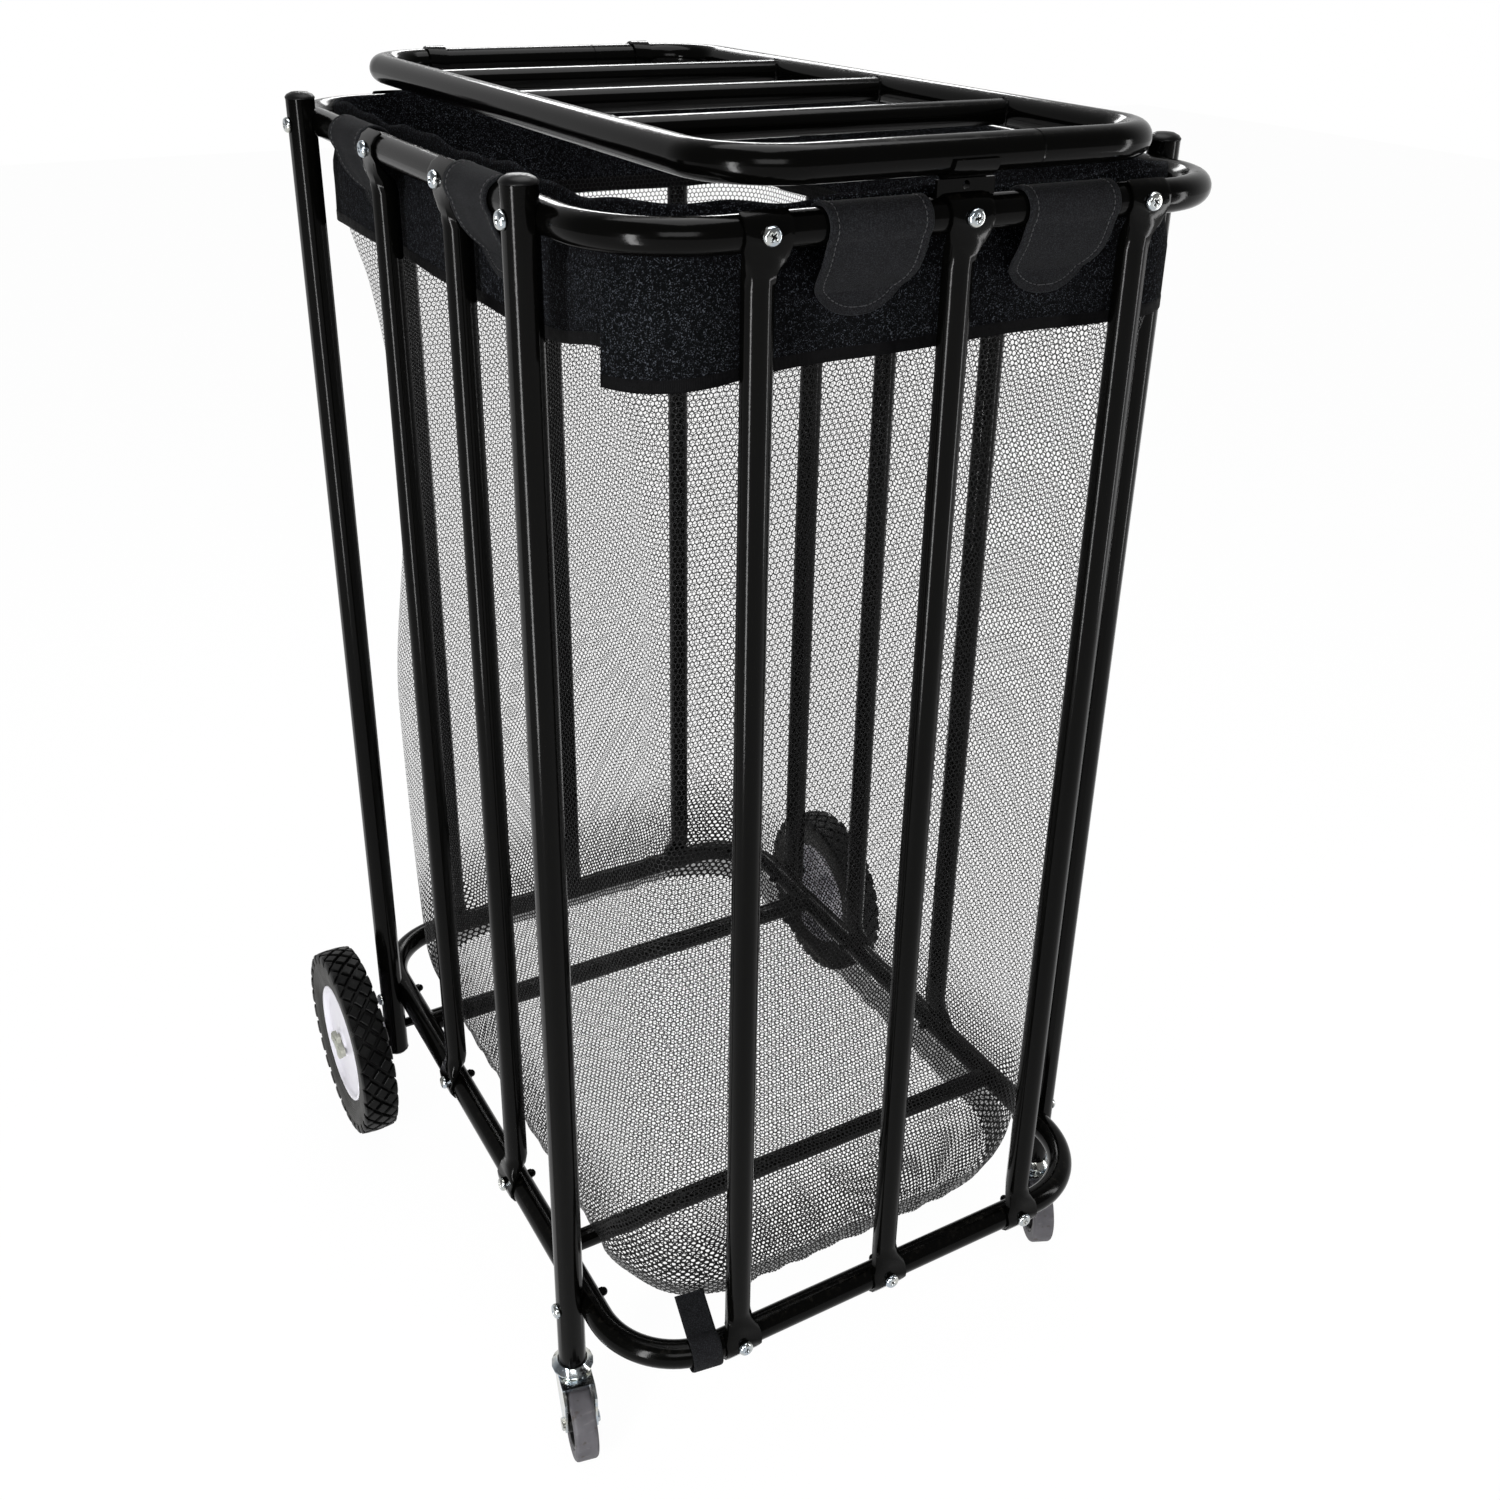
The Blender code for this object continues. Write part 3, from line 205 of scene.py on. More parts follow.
class Finish:
    """The nodes of one material or world."""

    def __init__(self, owner):
        owner.use_nodes = True
        self.owner = owner
        self.tree = owner.node_tree
        self.tree.nodes.clear()

    def node(self, kind, settings=None, values=None, output=0):
        made = self.tree.nodes.new(kind)
        for name, value in (settings or {}).items():
            setattr(made, name, value)
        for name, value in (values or {}).items():
            if isinstance(value, Tone):
                self.tree.links.new(value.socket, made.inputs[name])
            else:
                made.inputs[name].default_value = value
        return Tone(self, made.outputs[output]) if len(made.outputs) else None

    def place(self, kind="Object"):
        return self.node("ShaderNodeTexCoord", output=kind)

    def ray(self, kind):
        """1 for rays of one kind and 0 for others."""
        return self.node("ShaderNodeLightPath", output=f"Is {kind} Ray")

    def vector(self, operation, first, second=(0.0, 0.0, 0.0), output=0):
        return self.node("ShaderNodeVectorMath", {"operation": operation}, {0: first, 1: second}, output)

    def length(self, way):
        return self.vector("LENGTH", way, output="Value")

    def along(self, place, direction):
        """How far a place lies along a direction."""
        return self.vector("DOT_PRODUCT", place, direction, "Value")

    def across_cloth(self):
        return self.along(self.place("UV"), (1.0, 0.0, 0.0))

    def down_cloth(self):
        return self.along(self.place("UV"), (0.0, 1.0, 0.0))

    def noise(self, scale, detail, stretch=(1.0, 1.0, 1.0)):
        """Cloudy values of one scale; a low stretch along an axis draws them out along it."""
        where = self.vector("MULTIPLY", self.place(), stretch)
        return self.node("ShaderNodeTexNoise", {}, {"Vector": where, "Scale": scale, "Detail": detail})

    def colours(self, share, first, second):
        """A colour between two, by a share from 0 to 1."""
        values = {0: share, 6: first, 7: second}
        for key in (6, 7):
            if not isinstance(values[key], Tone):
                values[key] = (*values[key], 1.0)
        return self.node("ShaderNodeMix", {"data_type": "RGBA"}, values, 2)

    def bump(self, height, distance):
        return self.node("ShaderNodeBump", {}, {"Height": height, "Distance": distance, "Strength": 1.0})

    def surface(self, clear=None, **sockets):
        """Puts a Principled shader on the surface; clear is how solid it is, where it has holes."""
        shader = self.node("ShaderNodeBsdfPrincipled", {},
                           {name.replace("_", " "): value for name, value in sockets.items()})
        if clear is not None:
            hole = self.node("ShaderNodeBsdfTransparent")
            shader = self.node("ShaderNodeMixShader", {}, {0: clear, 1: hole, 2: shader})
        self.node("ShaderNodeOutputMaterial", {}, {"Surface": shader})
        return self.owner


def new_finish(name):
    return Finish(bpy.data.materials.new(name))


def powder_coat(name):
    """Glossy black powder coat with orange peel, faint dust and scuffs."""
    f = new_finish(name)
    peel = f.noise(620.0, 2.0)
    cloud = f.noise(14.0, 4.0)
    scuff = f.noise(60.0, 5.0, stretch=(1.0, 1.0, 0.25)).step(0.62, 0.78)
    upward = f.node("ShaderNodeNewGeometry", output="Normal")
    dust = f.along(upward, (0.0, 0.0, 1.0)).step(0.55, 1.0) * f.noise(170.0, 5.0).step(0.50, 0.75)
    colour = f.colours(dust * 0.4, (0.0008, 0.0008, 0.0007), (0.010, 0.009, 0.007))
    roughness = 0.10 + 0.06 * cloud + 0.08 * scuff + 0.18 * dust
    return f.surface(Base_Color=colour, Roughness=roughness, Normal=f.bump(peel, 0.00004),
                     Specular_IOR_Level=0.08)


def moulded_black(name):
    """Black plastic caps, with a fine moulded grain and slight rubbing."""
    f = new_finish(name)
    grain = f.noise(1500.0, 1.0)
    rubbed = f.noise(45.0, 4.0).step(0.5, 0.8)
    colour = f.colours(rubbed, (0.0028, 0.0028, 0.0029), (0.009, 0.009, 0.009))
    return f.surface(Base_Color=colour, Roughness=0.34 + 0.20 * rubbed,
                     Normal=f.bump(grain, 0.00003), Specular_IOR_Level=0.12)


def zinc(name):
    """Bright zinc plate, a little blue and yellow, with fine drawing marks and a few dull spots."""
    f = new_finish(name)
    tint = f.noise(70.0, 3.0)
    spots = f.noise(420.0, 4.0).step(0.60, 0.72)
    drawn = f.noise(900.0, 2.0, stretch=(1.0, 1.0, 0.08))
    colour = f.colours(tint.step(0.35, 0.65), (0.40, 0.45, 0.50), (0.52, 0.52, 0.48))
    colour = f.colours(spots * 0.6, colour, (0.18, 0.18, 0.17))
    return f.surface(Base_Color=colour, Metallic=1.0, Roughness=0.09 + 0.12 * tint + 0.25 * spots,
                     Normal=f.bump(drawn, 0.00003))


def tyre_rubber(name, axle):
    """Black rubber, a browner sidewall with fine moulded rings on it, and painted shade in the tread's grooves."""
    f = new_finish(name)
    shoulder, groove_floor, block_top = (0.104, 0.112), (0.1110, 0.1125), (0.1145, 0.1160)
    place = f.vector("SUBTRACT", f.place(), axle)
    radius = f.length(f.vector("MULTIPLY", place, (0.0, 1.0, 1.0)))
    grain = f.noise(900.0, 3.0)
    mottle = f.noise(38.0, 5.0)
    sidewall = 1.0 - radius.step(*shoulder)
    groove = radius.step(*groove_floor) * (1.0 - radius.step(*block_top))
    colour = f.colours(mottle.step(0.35, 0.75), (0.0009, 0.0010, 0.0010), (0.0030, 0.0031, 0.0029))
    colour = f.colours(sidewall * (0.35 + 0.7 * mottle), colour, (0.012, 0.011, 0.0085))
    # Painted shade: the grooves between the tread's blocks are darkened in the colour.
    colour = f.colours(groove * 0.8, colour, (0.0008, 0.0008, 0.0008))
    rings = radius.wave(0.0030) * sidewall
    return f.surface(Base_Color=colour, Roughness=0.30 + 0.28 * mottle,
                     Normal=f.bump(grain + 2.0 * rings, 0.00008), Specular_IOR_Level=0.10)


def wheel_white(name):
    """Off-white moulded wheel with grey handling marks and soft sink marks."""
    f = new_finish(name)
    marks = f.noise(28.0, 6.0).step(0.56, 0.74)
    sink = f.noise(16.0, 1.0)
    grain = f.noise(1200.0, 1.0)
    colour = f.colours(f.noise(9.0, 2.0), (0.50, 0.49, 0.54), (0.60, 0.59, 0.63))
    colour = f.colours(marks * 0.45, colour, (0.30, 0.29, 0.30))
    return f.surface(Base_Color=colour, Roughness=0.30 + 0.25 * marks,
                     Normal=f.bump(sink * 12.0 + grain, 0.00005))


def clip_grey(name):
    """Dull grey moulding of the hub clips."""
    f = new_finish(name)
    mottle = f.noise(160.0, 4.0)
    grain = f.noise(1400.0, 2.0)
    colour = f.colours(mottle, (0.19, 0.195, 0.17), (0.38, 0.38, 0.33))
    return f.surface(Base_Color=colour, Roughness=0.45 + 0.2 * mottle, Normal=f.bump(grain, 0.00005))


def caster_rubber(name):
    """Grey rubber of the caster treads, with lighter scuffs and spots of brown floor dirt."""
    f = new_finish(name)
    cloud = f.noise(55.0, 5.0)
    dirt = f.noise(120.0, 5.0).step(0.60, 0.70)
    scuff = f.noise(240.0, 3.0, stretch=(0.2, 1.0, 1.0)).step(0.58, 0.80)
    colour = f.colours(cloud.step(0.3, 0.7), (0.040, 0.038, 0.044), (0.066, 0.063, 0.070))
    colour = f.colours(scuff * 0.5, colour, (0.11, 0.107, 0.11))
    colour = f.colours(dirt * 0.8, colour, (0.022, 0.014, 0.010))
    return f.surface(Base_Color=colour, Roughness=0.48 + 0.25 * cloud,
                     Normal=f.bump(f.noise(800.0, 3.0) + 2.0 * scuff, 0.00005))


def net_thread(name):
    """Black knotless net: hexagonal cells of thread with holes right through."""
    f = new_finish(name)
    cells = f.vector("MULTIPLY", f.place("UV"), (1.0 / NET_CELL, 1.0 / NET_CELL, 0.0))
    step = (1.0, math.sqrt(3.0), 1.0)
    half = (0.5, math.sqrt(3.0) / 2, 0.0)
    flat = (1.0, 1.0, 0.0)
    first = f.vector("SUBTRACT", f.vector("MODULO", cells, step), half)
    second = f.vector("SUBTRACT", f.vector("MODULO", f.vector("ADD", cells, half), step), half)
    first = f.vector("MULTIPLY", first, flat)
    second = f.vector("MULTIPLY", second, flat)
    second_is_near = f.length(first).above(f.length(second))
    near = f.node("ShaderNodeMix", {"data_type": "VECTOR"}, {0: second_is_near, 4: first, 5: second}, 1)
    folded = f.vector("ABSOLUTE", near)
    reach = f.along(folded, half).larger(f.along(folded, (1.0, 0.0, 0.0)))
    down = f.down_cloth()
    gathered = down.step(0.80, 0.93) - 0.7 * down.step(1.3, 1.6)
    width = NET_THREAD / NET_CELL / 2 + 0.11 * gathered
    sewn = down.step(0.938, 0.944) * (1.0 - down.step(0.965, 0.975))
    thread = reach.step(0.5 - width - 0.03, 0.5 - width + 0.03)
    solid = thread.larger(0.7 * sewn)
    sheen = f.noise(1500.0, 2.0)
    colour = f.colours(sheen.step(0.4, 0.7), (0.0025, 0.0025, 0.0025), (0.010, 0.010, 0.0105))
    return f.surface(clear=solid, Base_Color=colour, Roughness=0.55, Specular_IOR_Level=0.12,
                     Normal=f.bump(reach, 0.0003))


def plush(name):
    """Black pile fabric: tufts that catch the light in fine speckles."""
    f = new_finish(name)
    tufts = f.noise(360.0, 3.0)
    fibres = f.noise(1050.0, 2.0)
    clumps = f.noise(90.0, 3.0)
    lit = fibres.step(0.53, 0.66) * tufts.step(0.40, 0.58)
    colour = f.colours(clumps, (0.0008, 0.0009, 0.0011), (0.0018, 0.0019, 0.0024))
    colour = f.colours(lit, colour, (0.042, 0.046, 0.054))
    height = tufts + 0.6 * fibres + 1.5 * clumps
    return f.surface(Base_Color=colour, Roughness=0.9, Normal=f.bump(height, 0.0009),
                     Sheen_Weight=0.01, Sheen_Roughness=0.4, Sheen_Tint=(0.35, 0.38, 0.42, 1.0),
                     Specular_IOR_Level=0.03)


def satin_hem(name):
    """Shiny black binding along the band's lower edge."""
    f = new_finish(name)
    ribs = f.across_cloth().wave(0.0011)
    puckers = f.noise(160.0, 3.0)
    colour = f.colours(puckers, (0.0006, 0.0006, 0.0007), (0.0030, 0.0030, 0.0034))
    return f.surface(Base_Color=colour, Roughness=0.42 + 0.3 * puckers,
                     Normal=f.bump(ribs * 0.4 + 1.5 * puckers, 0.0005), Specular_IOR_Level=0.03)


def webbing(name):
    """Black woven cloth of the tabs and the strap, fine and slightly grainy, with painted highlights on its weave.
    """
    f = new_finish(name)
    warp = f.across_cloth().wave(0.0012)
    weft = f.down_cloth().wave(0.0012)
    weave = warp * weft + (1.0 - warp) * (1.0 - weft)
    grain = f.noise(950.0, 3.0)
    fade = f.noise(26.0, 4.0)
    colour = f.colours(fade, (0.0026, 0.0027, 0.0031), (0.0056, 0.0058, 0.0066))
    # Painted highlight: the weave's raised threads are lighter in the colour, in grainy patches.
    colour = f.colours(weave * grain.step(0.4, 0.7) * 0.8, colour, (0.034, 0.036, 0.040))
    return f.surface(Base_Color=colour, Roughness=0.72 + 0.2 * grain,
                     Normal=f.bump(weave + 0.8 * grain, 0.0004),
                     Sheen_Weight=0.01, Sheen_Roughness=0.5, Specular_IOR_Level=0.05)


def sewing_thread(name):
    """Waxed black thread."""
    f = new_finish(name)
    twist = f.noise(1300.0, 2.0)
    return f.surface(Base_Color=f.colours(twist, (0.006, 0.006, 0.007), (0.028, 0.028, 0.030)),
                     Roughness=0.45 + 0.2 * twist, Normal=f.bump(twist, 0.0001))


def studio_white(name):
    """Plain floor: white to the camera and in reflections, with the object's faint shadow kept."""
    f = new_finish(name)
    matt = f.node("ShaderNodeBsdfDiffuse", {}, {"Color": (0.86, 0.86, 0.86, 1.0)})
    bright = f.node("ShaderNodeEmission", {}, {"Color": (1.0, 1.0, 1.0, 1.0), "Strength": 1.0})
    seen = f.ray("Camera") + f.ray("Glossy") + f.ray("Transmission")
    shader = f.node("ShaderNodeMixShader", {}, {0: seen * 0.97, 1: matt, 2: bright})
    f.node("ShaderNodeOutputMaterial", {}, {"Surface": shader})
    return f.owner


# Meshes

def link(obj):
    """Puts an object in the scene."""
    bpy.context.scene.collection.objects.link(obj)
    return obj


def piece(name, points, faces, finish, body, slot, uv=None, wrap=None, sharp=35.0, looks=None):
    """A new piece that rides on a body. uv gives each point its place on flat cloth, wrap the lengths
    after which a closed run of quads comes back to its start, and looks a second finish and, for each
    face, which of the two it has."""
    mesh = bpy.data.meshes.new(name)
    mesh.from_pydata([tuple(map(float, p)) for p in points], [], faces)
    mesh.materials.append(finish)
    mesh.polygons.foreach_set("use_smooth", [True] * len(mesh.polygons))
    mesh.set_sharp_from_angle(angle=math.radians(sharp))
    if uv is not None:
        corners = np.zeros(len(mesh.loops), int)
        mesh.loops.foreach_get("vertex_index", corners)
        flat = np.array(uv, float)[corners]
        if wrap is not None:
            quads = flat.reshape(-1, 4, 2)
            for axis, length in enumerate(wrap):
                run = quads[:, :, axis]
                crosses = (run.max(axis=1) - run.min(axis=1) > length / 2)[:, None]
                run[crosses & (run < length / 2)] += length
        layer = mesh.uv_layers.new(name="cloth")
        layer.data.foreach_set("uv", flat.ravel())
    if looks is not None:
        second, chosen = looks
        mesh.materials.append(second)
        mesh.polygons.foreach_set("material_index", chosen)
    mesh.update()
    obj = link(bpy.data.objects.new(name, mesh))
    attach(obj, body)
    return obj


def grid_faces(rows, columns, closed=False, looped=False, start=0):
    """Quads over a grid of points kept row by row. closed joins its last column to its first, and
    looped its last row to its first."""
    faces = []
    for i in range(rows if looped else rows - 1):
        a, b = start + i * columns, start + (i + 1) % rows * columns
        for j in range(columns if closed else columns - 1):
            k = (j + 1) % columns
            faces.append((a + j, a + k, b + k, b + j))
    return faces


class Pieces:
    """Points and faces of several like bits that become one piece."""

    def __init__(self):
        self.points = []
        self.faces = []

    def add(self, points, faces):
        start = len(self.points)
        self.points += [tuple(p) for p in points]
        self.faces += [tuple(i + start for i in face) for face in faces]

    def piece(self, name, finish, body, slot, **more):
        """Makes one piece of all that was added."""
        return piece(name, self.points, self.faces, finish, body, slot, **more)


def frame_at(origin, axis):
    """A matrix whose +Z is a level axis and whose +Y is up."""
    z = Vector(axis).normalized()
    x = Vector((0.0, 0.0, 1.0)).cross(z).normalized()
    y = z.cross(x)
    return Matrix.Translation(Vector(origin)) @ Matrix((x, y, z)).transposed().to_4x4()


def turns(steps):
    """Angles at equal steps round a circle."""
    return [2 * math.pi * k / steps for k in range(steps)]


def polar(radius, angle):
    """A point at a distance and an angle from the middle."""
    return radius * math.cos(angle), radius * math.sin(angle)


def arc(radius, start, end, steps):
    """Points of an arc about the middle, between two angles in degrees."""
    return [polar(radius, math.radians(a)) for a in np.linspace(start, end, steps)]


def mirrored(profile):
    """A profile of (radius, along) pairs, and back along its other side."""
    return profile + [(r, -z) for r, z in reversed(profile)]


def turned(profile, place, steps, closed=True):
    """Points and faces of a lathe shape. The profile is (radius, along) pairs; closed joins its ends."""
    points = [place @ Vector((*polar(r, a), z)) for a in turns(steps) for r, z in profile]
    count = len(profile)
    faces = []
    for i in range(steps):
        k = (i + 1) % steps
        for j in range(count if closed else count - 1):
            m = (j + 1) % count
            faces.append((i * count + j, k * count + j, k * count + m, i * count + m))
    return points, faces


def rounded(profile, radius, steps=4):
    """A closed profile with its corners rounded."""
    made = []
    count = len(profile)
    for i, corner in enumerate(profile):
        here = Vector(corner)
        before = Vector(profile[i - 1]) - here
        after = Vector(profile[(i + 1) % count]) - here
        reach = min(radius, before.length * 0.45, after.length * 0.45)
        start = here + before.normalized() * reach
        end = here + after.normalized() * reach
        for k in range(steps + 1):
            t = k / steps
            made.append((1 - t) ** 2 * start + 2 * t * (1 - t) * here + t ** 2 * end)
    return made


def swept(path, radii, closed=False, sides=8):
    """Points and faces of a round bead along a path, with its radius at each point."""
    path = [Vector(p) for p in path]
    count = len(path)
    points = []
    for i, p in enumerate(path):
        before = path[i - 1] if closed or i else p
        after = path[(i + 1) % count] if closed or i < count - 1 else p
        along = (after - before).normalized()
        side = along.orthogonal().normalized() if i == 0 else (side - along * side.dot(along)).normalized()
        other = along.cross(side)
        points += [p + (side * math.cos(a) + other * math.sin(a)) * radii[i] for a in turns(sides)]
    faces = grid_faces(count, sides, closed=True, looped=closed)
    if not closed:
        faces += [tuple(reversed(range(sides))), tuple(range((count - 1) * sides, count * sides))]
    return points, faces


def outline(half_x, half_y, bend, side_steps=(44, 62), corner_steps=14):
    """Rounded rectangle in plan with outward normals, anticlockwise from the rear right corner's start."""
    x, y = half_x - bend, half_y - bend
    points, normals = [], []
    corners = (((x, y), 0.0), ((-x, y), 90.0), ((-x, -y), 180.0), ((x, -y), 270.0))
    for index, ((cx, cy), start) in enumerate(corners):
        for k in range(corner_steps):
            normal = polar(1.0, math.radians(start + 90.0 * k / corner_steps))
            normals.append(normal)
            points.append((cx + bend * normal[0], cy + bend * normal[1]))
        normal = polar(1.0, math.radians(start + 90.0))
        begin = np.array((cx + bend * normal[0], cy + bend * normal[1]))
        nx, ny = corners[(index + 1) % 4][0]
        end = np.array((nx + bend * normal[0], ny + bend * normal[1]))
        steps = side_steps[index % 2]
        for k in range(steps):
            points.append(tuple(begin + (end - begin) * k / steps))
            normals.append(normal)
    return np.array(points), np.array(normals)


def closed_path(points):
    """The points, with the first one once more at the end."""
    return np.vstack([points, points[:1]])


def run_lengths(points):
    """How far along a path each of its points lies."""
    return np.concatenate([[0.0], np.cumsum(np.linalg.norm(np.diff(points, axis=0), axis=1))])


def eased(height, share):
    """A height that is reached as a share goes from 0 to 1, slowly at both ends."""
    return height * share ** 2 * (3 - 2 * share)


# Cage details

def tube_loop(half, bend, height, radius, seam_axis, seam_at):
    """A bent tube ring in plan, with a fine butt seam on both sides where it crosses seam_at."""
    plan, _ = outline(half.x, half.y, bend, (8, 10), 22)
    seam = ((-SEAM_EDGE, 0.0), (-SEAM_FLOOR, SEAM_DEPTH), (SEAM_FLOOR, SEAM_DEPTH), (SEAM_EDGE, 0.0))
    path, radii = [], []
    count = len(plan)
    other = 1 - seam_axis
    for i, here in enumerate(plan):
        ahead = plan[(i + 1) % count]
        path.append(tuple(here))
        radii.append(radius)
        crosses = (here[seam_axis] - seam_at) * (ahead[seam_axis] - seam_at) < 0
        if crosses and abs(abs(here[other]) - half[other]) < 1e-6:
            way = math.copysign(1.0, ahead[seam_axis] - here[seam_axis])
            for off, sunk in seam:
                point = list(here)
                point[seam_axis] = seam_at + way * off
                path.append(tuple(point))
                radii.append(radius - sunk)
    return swept([(x, y, height) for x, y in path], radii, closed=True, sides=TUBE_SIDES)


def fixings(height):
    """Each screw of one ring: its seat and the way it faces."""
    seats = []
    for end in (-1, 1):
        for x in UPRIGHT_COLUMNS:
            seats.append(((x, end * (RING_HALF.y + SCREW_SEAT), height), (0.0, end, 0.0)))
        for y in SIDE_UPRIGHTS:
            seats.append(((end * (RING_HALF.x + SCREW_SEAT), y, height), (end, 0.0, 0.0)))
        for y in (-LEG.y, LEG.y):
            seats.append(((end * (LEG.x + LEG_SCREW_SEAT), y, height), (end, 0.0, 0.0)))
    return seats


def add_cap_nut(made, place):
    """A plain dome nut: six flats, then a dome."""
    corner, flat_height, radius, foot, rise = 0.0052, 0.0034, 0.0044, 0.0033, 0.0040
    flats = [place @ Vector((*polar(corner, math.pi / 3 * k), z))
             for z in (0.0, flat_height) for k in range(6)]
    made.add(flats, grid_faces(2, 6, closed=True) + [tuple(range(6, 12))])
    dome = [(radius, foot)]
    dome += [(radius * math.cos(t), rise + rise * math.sin(t))
             for t in (math.pi / 2 * k / 5 for k in range(6))]
    made.add(*turned(dome, place, 18, closed=False))


def build_rings(finish):
    """Both rings with the dome nuts of their screws on their inner side, and the lid's tube."""
    for name, height in (("bottom_ring", BOTTOM_RING_HEIGHT), ("top_ring", TOP_RING_HEIGHT)):
        ring = Pieces()
        ring.add(*tube_loop(RING_HALF, RING_BEND, height, RING_RADIUS, 1, 0.0))
        for seat, way in fixings(height):
            across = 0 if way[0] else 1
            start = list(seat)
            start[across] = way[across] * (RING_HALF[across] - RING_RADIUS + NUT_SINK)
            add_cap_nut(ring, frame_at(start, -Vector(way)))
        made = ring.piece(name, finish, "frame", "black_powder_coat", sharp=40.0)
        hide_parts(f"{name}_front_half", f"{name}_rear_half")
    tube = tube_loop(LID_HALF, LID_BEND, LID_HEIGHT, LID_RADIUS, 0, LID_SEAM)
    lid = piece("lid_tube", *tube, finish, "lid", "black_powder_coat", sharp=40.0)
    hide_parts("lid_frame")


def screw_head(turn):
    """A pan head with a cross recess, over the frame's plain head. Its seat is at z = 0."""
    radius, height, crown, edge_drop, edge_start, edge_width = 0.0074, 0.0043, 0.0006, 0.0022, 0.72, 0.28
    arm_width, arm_length, recess, recess_rim, recess_slope = 0.0007, 0.0029, 0.0013, 1.25, 0.5
    rings, steps = 15, 44
    points = []
    for i in range(rings):
        share = i / (rings - 1)
        r = radius * share
        dome = height - crown * share ** 2 - edge_drop * max(0.0, share - edge_start) ** 2 / edge_width ** 2
        for a in turns(steps):
            x, y = map(abs, polar(r, a + turn))
            arm = min(max(x / arm_width, y / arm_length), max(y / arm_width, x / arm_length))
            sink = recess * min(1.0, max(0.0, (recess_rim - arm) / recess_slope))
            points.append((*polar(r, a), dome - sink))
    points += [(*polar(radius, a), 0.0) for a in turns(steps)]
    return points, grid_faces(rings + 1, steps, closed=True)


def build_screws(finish):
    """The heads of all screws, as one piece. Each is turned a little further than the one before."""
    made = Pieces()
    for index, (seat, way) in enumerate(fixings(BOTTOM_RING_HEIGHT) + fixings(TOP_RING_HEIGHT)):
        points, faces = screw_head(index * SCREW_TURN)
        place = frame_at(seat, way)
        made.add([place @ Vector(p) for p in points], [face[::-1] for face in faces])
    made.piece("screw_heads", finish, "frame", "zinc_steel", sharp=50.0)


def cope_bead(x, y, height, tube):
    """The weld round the end of a cross bar, where it meets a side tube."""
    steps = 48
    path = []
    for a in turns(steps):
        ripple = 1.0 + 0.02 * math.sin(9 * a)
        up = BAR_RADIUS * ripple * math.sin(a)
        out = math.copysign(abs(x) - math.sqrt(tube ** 2 - up ** 2), x)
        path.append((out, y + BAR_RADIUS * ripple * math.cos(a), height + up))
    return swept(path, [WELD_BEAD * (1.0 + 0.22 * math.sin(i * 2.4)) for i in range(steps)], closed=True)


def build_welds(finish):
    """The weld beads of the lid's bars, and those of the cross tubes."""
    for name, body, half, bars, height, tube in (
            ("lid_welds", "lid", LID_HALF, LID_BARS, LID_HEIGHT, LID_RADIUS),
            ("cross_tube_welds", "frame", RING_HALF, CROSS_TUBES, BOTTOM_RING_HEIGHT, RING_RADIUS)):
        made = Pieces()
        for side in (-1, 1):
            for y in bars:
                made.add(*cope_bead(side * half.x, y, height, tube))
        made.piece(name, finish, body, "black_powder_coat")


# Large wheels

def tread_radius(x):
    """Radius of the tread's blocks at a distance from the tyre's middle."""
    return TYRE_RADIUS - CROWN_DROP - CROWN_CAMBER * (x / TYRE_HALF_WIDTH) ** 2


def add_diamonds(made, at, step):
    """Diamond blocks in three staggered columns, with a groove between them."""
    rhombus = [(1.0, 0.0), (0.5, 0.5), (0.0, 1.0), (-0.5, 0.5), (-1.0, 0.0), (-0.5, -0.5), (0.0, -1.0),
               (0.5, -0.5)]
    corners = len(rhombus)
    root = TREAD_DEPTH + 0.0004
    levels = ((TREAD_GROOVE * 0.55, root), (TREAD_GROOVE * 0.95, BLOCK_EDGE), (TREAD_GROOVE * 1.25, 0.0))
    top = 2 * corners
    faces = grid_faces(3, corners, closed=True)
    faces += [(top + k, top + (k + 1) % corners, top + corners) for k in range(corners)]
    for column in (-1, 0, 1):
        for row in range(TREAD_STEPS // 2):
            centre = (2 * row + column % 2) * step
            middle = column * TREAD_COLUMN
            points = []
            for shrink, drop in levels:
                wide = TREAD_COLUMN - shrink
                tall = step - shrink * 1.15 / TYRE_RADIUS
                points += [at(middle + u * wide, centre + v * tall, tread_radius(middle + u * wide) - drop)
                           for u, v in rhombus]
            points.append(at(middle, centre, tread_radius(middle)))
            made.add(points, faces)


